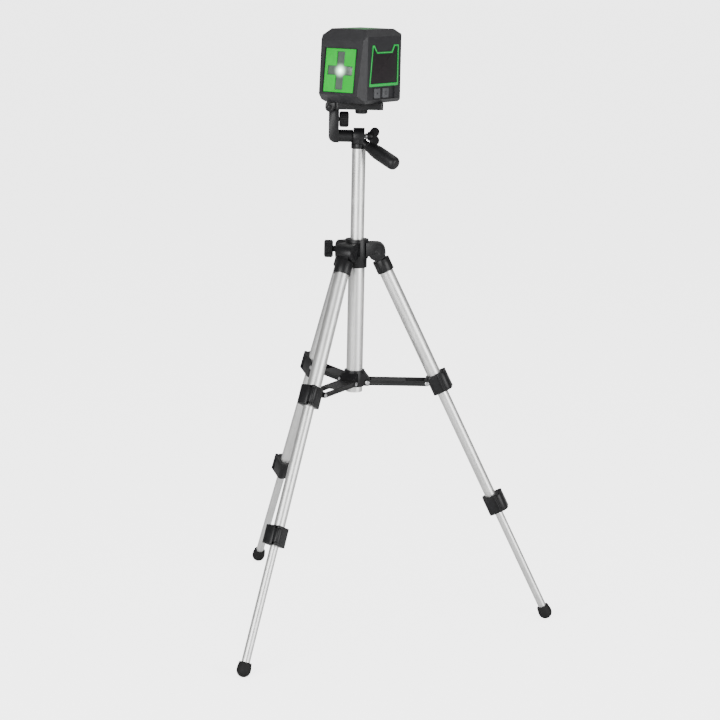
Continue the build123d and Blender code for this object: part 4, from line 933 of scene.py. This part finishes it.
@dataclass
class Leg:
    """One leg: socket, three telescoping tubes, two locks with levers, foot and brace bar."""

    name: str
    lever_lengths: Sequence[tuple[str, float]] = (("upper", 24.0), ("lower", 23.0))
    moulded: Roundings = (("socket", 0.9), ("upper_lock", 0.7), ("lower_lock", 1.3))
    bar_rounding: float = 0.3
    rivet_rounding: float = 0.35

    def build(self) -> None:
        """Build and dress every piece of the leg."""
        pivot = Vector(joint(f"leg_{self.name}_fold")["pos_m"])
        down = -Vector(joint(f"leg_{self.name}_middle_slide")["axis"])
        metal = tube_finish(f"drawn aluminium leg {self.name}", down)
        for part in ("upper", "middle", "lower"):
            Tube(f"leg_{self.name}_{part}_tube", pivot, down, metal).build()
        for level, length in self.lever_lengths:
            LockLever(self.name, level, length).build()
        soften_all([(f"leg_{self.name}_{part}", width) for part, width in self.moulded], BLACK)
        soften_all([(f"brace_bar_{self.name}", self.bar_rounding)], GLOSS_BLACK)
        soften_all([(f"brace_bar_{self.name}_rivets", self.rivet_rounding)], STEEL)
        Foot(self.name, pivot, down).build()


# ------------------------------------------------------------------ stand and head
@dataclass
class Knob:
    """Round clamp knob with a ribbed rim, on its stud. Millimetres along the joint's axis."""

    node: str
    joint_name: str
    start: float
    thickness: float
    radius: float
    shank: Profile
    finish: Finish = BLACK
    ribs: int = 28
    rib_radius: float = 0.75
    rib_margin: float = 2.4
    edge: float = 0.9
    back_step: float = 1.2
    front_step: float = 1.4
    dish: float = 1.2
    dish_shares: tuple[float, float] = (0.62, 0.5)
    tip: Profile = ()

    def build(self) -> bpy.types.Object:
        """Turn the body, add its ribs and put it in place."""
        core = self.radius - self.rib_radius
        end = self.start + self.thickness
        brim, floor = self.dish_shares
        hollow = [(end, core * brim), (end - self.dish, core * floor), (end - self.dish, 0.0)]
        profile = [(self.shank[0][0], 0.0), *self.shank, (self.start, core - self.back_step),
                   (self.start + self.edge, core), (end - self.edge, core),
                   (end, core - self.front_step), *(self.tip or hollow)]
        obj = turned(f"{self.node}_shape", profile, Matrix.Identity(4))
        ribs = Ribs(RibLayout.RIM, self.ribs, self.rib_radius, self.thickness - self.rib_margin,
                    radius=core, start=(0.0, 0.0, self.start + self.thickness / 2))
        ribs.add_to(obj, self.finish.material(), joint_frame(self.joint_name))
        return stand_in(obj, self.node, self.finish)


@dataclass
class Stand:
    """Shoulder, column and brace hub."""

    moulded: Roundings = (("shoulder", 0.7), ("brace_hub", 0.6))
    steel: Roundings = (("brace_hub_pins", 0.35),)
    enamelled: Roundings = (("leg_pivot_pins", 0.3),)
    knob_shank: Profile = ((-20.3, 2.5), (-4.2, 2.5), (-4.2, 3.7), (0.0, 3.7))

    def build(self) -> None:
        """Build and dress the middle of the tripod."""
        up = Vector((0, 0, 1))
        metal = tube_finish("drawn aluminium column", up)
        Tube("centre_tube", Vector(), up, metal).build()
        Tube("column", Vector(), up, metal).build()
        soften_all(self.moulded, BLACK)
        soften_all(self.steel, STEEL)
        soften_all(self.enamelled, GLOSS_BLACK)
        Knob("column_lock_knob", "column_knob_turn", start=0.0, thickness=11.0, radius=10.7,
             shank=self.knob_shank).build()


@dataclass
class PanHandle:
    """Tapered grip with two neck rings, on its threaded rod. Millimetres along the handle."""

    profile: Profile = (
        (12.3, 0.0), (12.3, 2.7), (12.6, 3.0), (15.0, 3.0), (15.0, 5.4), (15.5, 6.0), (17.2, 6.3),
        (17.6, 5.8), (18.4, 5.9), (18.8, 6.5), (24.0, 7.5), (31.0, 8.5), (45.0, 8.5), (57.0, 8.45),
        (59.4, 8.0), (61.4, 6.9), (62.6, 5.3), (63.0, 3.4), (63.0, 0.0),
    )
    rib_count: int = 36
    rib_radius: float = 0.28
    rib_length: float = 20.0
    rib_circle: float = 8.22
    rib_middle: float = 43.0

    def build(self) -> bpy.types.Object:
        """Turn the grip with fine ribs along its length."""
        obj = turned("pan_handle_shape", self.profile, Matrix.Identity(4))
        ribs = Ribs(RibLayout.RIM, self.rib_count, self.rib_radius, self.rib_length,
                    radius=self.rib_circle, start=(0.0, 0.0, self.rib_middle))
        ribs.add_to(obj, GRIP.material(), joint_frame("handle_twist"))
        return stand_in(obj, "pan_handle", GRIP)


@dataclass
class WingScrew:
    """Clamping screw with two rounded wings. Millimetres from the screw's tip."""

    lean: float = 25.0
    half_thickness: float = 1.9
    lobe: tuple[float, float] = (25.6, 5.4)
    lobe_radius: float = 5.55
    lobe_sweep: tuple[float, float] = (165.0, -32.0)
    root: Profile = ((18.3, 3.0), (19.4, 6.4))
    dip: tuple[float, float] = (28.9, 0.8)
    rounding: float = 1.1
    profile: Profile = (
        (0.0, 0.0), (0.0, 2.5), (14.1, 2.5), (14.1, 3.0), (17.0, 3.0), (17.0, 4.8), (17.7, 5.4),
        (20.5, 5.4), (22.7, 4.6), (23.6, 2.6), (23.6, 0.0),
    )
    collar: Profile = ((14.2, 2.9), (14.2, 3.3), (14.5, 3.6), (16.6, 3.6), (16.9, 3.3), (16.9, 2.9))

    def build(self) -> None:
        """Turn the hub, cut the wings and add the bright collar behind them."""
        axis = joint("wing_turn")
        ahead = Vector((1, 0, 0))
        tip = Vector((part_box("wing_screw")[0][0], *axis["pos_m"][1:]))
        lean = radians(self.lean)
        half = [*self.root, *arc(self.lobe, self.lobe_radius, *self.lobe_sweep, 14), self.dip]
        outline = half + [(along, -out) for along, out in reversed(half)]
        bm = bmesh.new()
        swept_outline(bm, outline, -self.half_thickness, self.half_thickness)
        flat = placed(tip, Vector((0, -cos(lean), sin(lean))), ahead)
        wings = add_object("wings", mesh_of(bm, "wings", flat))
        hub = turned("hub", self.profile, placed(tip, ahead))
        screw = joined("wing_screw_shape", [hub, bevelled(wings, self.rounding, segments=3)])
        stand_in(screw, "wing_screw", BLACK)
        collar = turned("wing_screw_collar", self.collar, placed(tip, ahead))
        extra(collar, BODY_OF["wing_screw"], STEEL)


@dataclass
class TiltHead:
    """Collar, clamp, tilting bracket and camera platform."""

    moulded: Roundings = (
        ("pan_collar", 0.5), ("tilt_clamp", 0.5), ("l_bracket", 1.2), ("platform", 0.9))
    flip_shank: Profile = ((-7.7, 2.5), (0.3, 2.5))
    camera_shank: Profile = ((-6.2, 3.0),)
    camera_thread: Profile = ((-0.3, 3.17), (13.6, 3.17), (13.9, 2.8), (13.9, 0.0))

    def build(self) -> None:
        """Build and dress the head."""
        soften_all(self.moulded, BLACK)
        PanHandle().build()
        Knob("flip_knob", "clamp_knob_turn", start=0.3, thickness=11.5, radius=9.5,
             shank=self.flip_shank, ribs=24).build()
        WingScrew().build()
        Knob("camera_screw", "thumb_screw_turn", start=-6.2, thickness=5.9, radius=7.5,
             shank=self.camera_shank, ribs=30, rib_radius=0.5, tip=self.camera_thread).build()


# ------------------------------------------------------------------ laser
@dataclass
class LaserUnit:
    """The laser: faceted housing, green plates, buttons, battery cover and inner works."""

    facet_angle: float = 12.0
    housing: Roundings = (("laser_housing", 0.45),)
    skins: Sequence[tuple[str, float, Finish]] = (
        ("laser_battery_cover", 0.5, CHARCOAL), ("laser_face_plate", 0.25, GREEN),
        ("laser_side_trims", 0.25, GREEN_TRIM), ("laser_side_panels", 0.2, PANEL),
        ("laser_top_panel", 0.2, GREEN_TOP), ("laser_window", 0.15, WINDOW),
        ("laser_power_button", 0.5, BUTTON), ("laser_mode_button", 0.5, BUTTON),
    )
    insides: Sequence[tuple[str, float, Finish]] = (
        ("laser_batteries", 0.8, CELL), ("laser_gimbal_ring", 0.3, STEEL),
        ("laser_pendulum", 0.4, BRASS),
    )
    # black frame that narrows the green and paints the gap shade round the plate: side and end widths, height span
    # and rounding, in millimetres
    shade_frame_side: float = 2.0
    shade_frame_end: float = 0.7
    shade_frame_span: tuple[float, float] = (-0.3, 0.25)
    shade_frame_rounding: float = 0.12
    # painted glint on the window: its reach in millimetres and its emission strength
    glint_reach: float = 11.0
    painted_glow: float = 9.0
    dot: Profile = ((-0.2, 0.0), (-0.2, 1.1), (0.1, 0.9), (0.1, 0.0))
    ring: Profile = ((-0.2, 2.4), (0.1, 2.3), (0.1, 1.8), (-0.2, 1.7))
    diode_reach: float = 24.0
    diode_drop: float = 14.0
    lens: Profile = ((-0.4, 0.0), (-0.4, 3.4), (0.2, 3.4), (0.9, 2.4), (1.2, 0.0))

    def shell(self) -> None:
        """Dress the housing and what is let into it."""
        soften_all(self.housing, CHARCOAL, sharp=self.facet_angle)
        for node, width, finish in self.skins:
            soften_all([(node, width)], finish)

    def shade_frame_and_glint(self) -> None:
        """Frame the green plate in black, which paints the gap shade round it, and paint a glint in the middle of
        its window.
        """
        ahead = Vector(joint("pendulum_swing")["axis"])
        plate, width, height = flat_frame("laser_face_plate", ahead)
        half_width, half_height = width / 2 / MM, height / 2 / MM
        bm = bmesh.new()
        # painted shade: a black frame over the plate's border stands for the dark gap line round the green
        swept_ring(bm, oblong(half_width, half_height),
                   oblong(half_width - self.shade_frame_side, half_height - self.shade_frame_end),
                   *self.shade_frame_span)
        rim = add_object("face_bezel", mesh_of(bm, "face_bezel", plate))
        bevelled(rim, self.shade_frame_rounding)
        extra(rim, BODY_OF["laser_face_plate"], BLACK)
        # painted glint: the window emits light round its middle
        window = flat_frame("laser_window", ahead)[0]
        paint_glint(WINDOW.material(), window.translation, self.glint_reach, self.painted_glow)

    def icons(self) -> None:
        """Raise a plain dot and a plain ring on the two buttons."""
        for word, profile in (("power", self.dot), ("mode", self.ring)):
            inward = Vector(joint(f"{word}_button_press")["axis"])
            low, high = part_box(f"laser_{word}_button")
            centre = (Vector(low) + Vector(high)) / 2
            mesh = frame["nodes"][f"laser_{word}_button"].data
            face = max((vertex.co - centre).dot(-inward) for vertex in mesh.vertices)
            icon = turned(f"{word}_icon", profile, placed(centre - inward * face, -inward))
            extra(icon, f"{word}_button", SYMBOL)

    def works(self) -> None:
        """Dress the cells, the gimbal and the pendulum, and add the lens with its painted glint."""
        for node, width, finish in self.insides:
            soften_all([(node, width)], finish)
        swing = joint("pendulum_swing")
        ahead = Vector(swing["axis"])
        drop = Vector((0, 0, self.diode_drop * MM))
        front = Vector(swing["pos_m"]) + ahead * (self.diode_reach * MM) - drop
        # a lens on the pendulum whose emission paints a glint behind the window
        lens = turned("diode_lens", self.lens, placed(front, ahead), 32)
        extra(lens, "pendulum", PAINTED_GLINT_LENS)

    def build(self) -> None:
        """Build and dress the laser."""
        self.shell()
        self.shade_frame_and_glint()
        self.icons()
        self.works()


# ------------------------------------------------------------------ studio
@dataclass
class Studio:
    """Pale floor, soft light and the camera. Metres and degrees."""

    target_height: float = 0.3516
    distance: float = 2.322
    azimuth: float = -90.8
    elevation: float = 11.51
    roll: float = 1.15
    lens: float = 95.0
    sensor: float = 36.0
    shift: tuple[float, float] = (0.0069, -0.0264)
    sight: float = 50.0
    sky: float = 0.36
    floor_lift: float = 3.4
    floor_reach: float = 30.0
    floor_drop: float = 0.0002
    paleness: float = 0.90
    aim_height: float = 0.4
    lamps: Sequence[tuple[str, tuple[float, float, float], float, float]] = (
        ("key", (-1.2, -2.0, 0.9), 1.5, 60.0),
        ("fill", (1.7, -1.5, 0.7), 1.3, 40.0),
        ("top", (0.2, 0.6, 2.6), 1.8, 22.0),
    )

    def camera(self) -> None:
        """Place the camera."""
        a, e = radians(self.azimuth), radians(self.elevation)
        back = Vector((cos(a) * cos(e), sin(a) * cos(e), sin(e)))
        right = (-back).cross(Vector((0, 0, 1))).normalized()
        up = right.cross(-back)
        c, s = cos(radians(self.roll)), sin(radians(self.roll))
        x, y = right * c + up * s, up * c - right * s
        spot = Vector((0, 0, self.target_height)) + back * self.distance
        data = bpy.data.cameras.new("camera")
        data.lens, data.sensor_width = self.lens, self.sensor
        data.shift_x, data.shift_y = self.shift
        data.clip_end = self.sight
        camera = bpy.data.objects.new("camera", data)
        camera.matrix_world = Matrix((
            (x.x, y.x, back.x, spot.x),
            (x.y, y.y, back.y, spot.y),
            (x.z, y.z, back.z, spot.z),
            (0, 0, 0, 1),
        ))
        bpy.context.scene.collection.objects.link(camera)
        bpy.context.scene.camera = camera

    def light(self, name: str, place: Vector, size: float, power: float) -> None:
        """Add a square soft light aimed at the object's middle.

        Args:
            name: the light's name.
            place: its place, in metres.
            size: its side, in metres.
            power: its power, in watts.
        """
        data = bpy.data.lights.new(name, "AREA")
        data.size, data.energy = size, power
        lamp = bpy.data.objects.new(name, data)
        lamp.matrix_world = placed(place, place - Vector((0, 0, self.aim_height)))
        bpy.context.scene.collection.objects.link(lamp)

    def lifted(self, tree: bpy.types.NodeTree, socket: bpy.types.NodeSocket, plain: float,
               seen: float) -> None:
        """Give a strength one value where it lights and another where it is seen directly.

        Args:
            tree: the node tree of the floor or the sky.
            socket: its strength.
            plain: value that lights the object.
            seen: value that the backdrop shows.
        """
        rays, choice = tree.nodes.new("ShaderNodeLightPath"), tree.nodes.new("ShaderNodeMapRange")
        ends = choice.inputs["To Min"], choice.inputs["To Max"]
        ends[0].default_value, ends[1].default_value = plain, seen
        tree.links.new(rays.outputs["Is Camera Ray"], choice.inputs["Value"])
        tree.links.new(choice.outputs["Result"], socket)

    def floor(self) -> None:
        """Lay the pale floor."""
        bm = bmesh.new()
        bmesh.ops.create_grid(bm, x_segments=1, y_segments=1, size=self.floor_reach)
        level = Matrix.Translation((0, 0, -self.floor_drop))
        floor = add_object("floor", mesh_of(bm, "floor", level))
        pale = bpy.data.materials.new("pale floor")
        pale.use_nodes = True
        skin = pale.node_tree.nodes["Principled BSDF"]
        skin.inputs["Base Color"].default_value = (*[self.paleness] * 3, 1)
        skin.inputs["Roughness"].default_value = 0.9
        skin.inputs["Specular IOR Level"].default_value = 0.1
        skin.inputs["Emission Color"].default_value = (1, 1, 1, 1)
        self.lifted(pale.node_tree, skin.inputs["Emission Strength"], 0.0, self.floor_lift)
        floor.data.materials.append(pale)

    def build(self) -> None:
        """Set up the studio."""
        world = bpy.context.scene.world or bpy.data.worlds.new("world")
        bpy.context.scene.world = world
        world.use_nodes = True
        nodes = world.node_tree.nodes
        sky = nodes.get("Background") or nodes.new("ShaderNodeBackground")
        sky.inputs["Color"].default_value = (1, 1, 1, 1)
        self.lifted(world.node_tree, sky.inputs["Strength"], self.sky, self.sky + self.floor_lift)
        self.floor()
        for name, place, size, power in self.lamps:
            self.light(name, Vector(place), size, power)
        self.camera()


def main() -> None:
    """Build the object and its studio."""
    logging.basicConfig(level=logging.INFO, format="%(message)s")
    Stand().build()
    for name in "abc":
        Leg(name).build()
    TiltHead().build()
    LaserUnit().build()
    Studio().build()


if __name__ == "__main__":
    main()
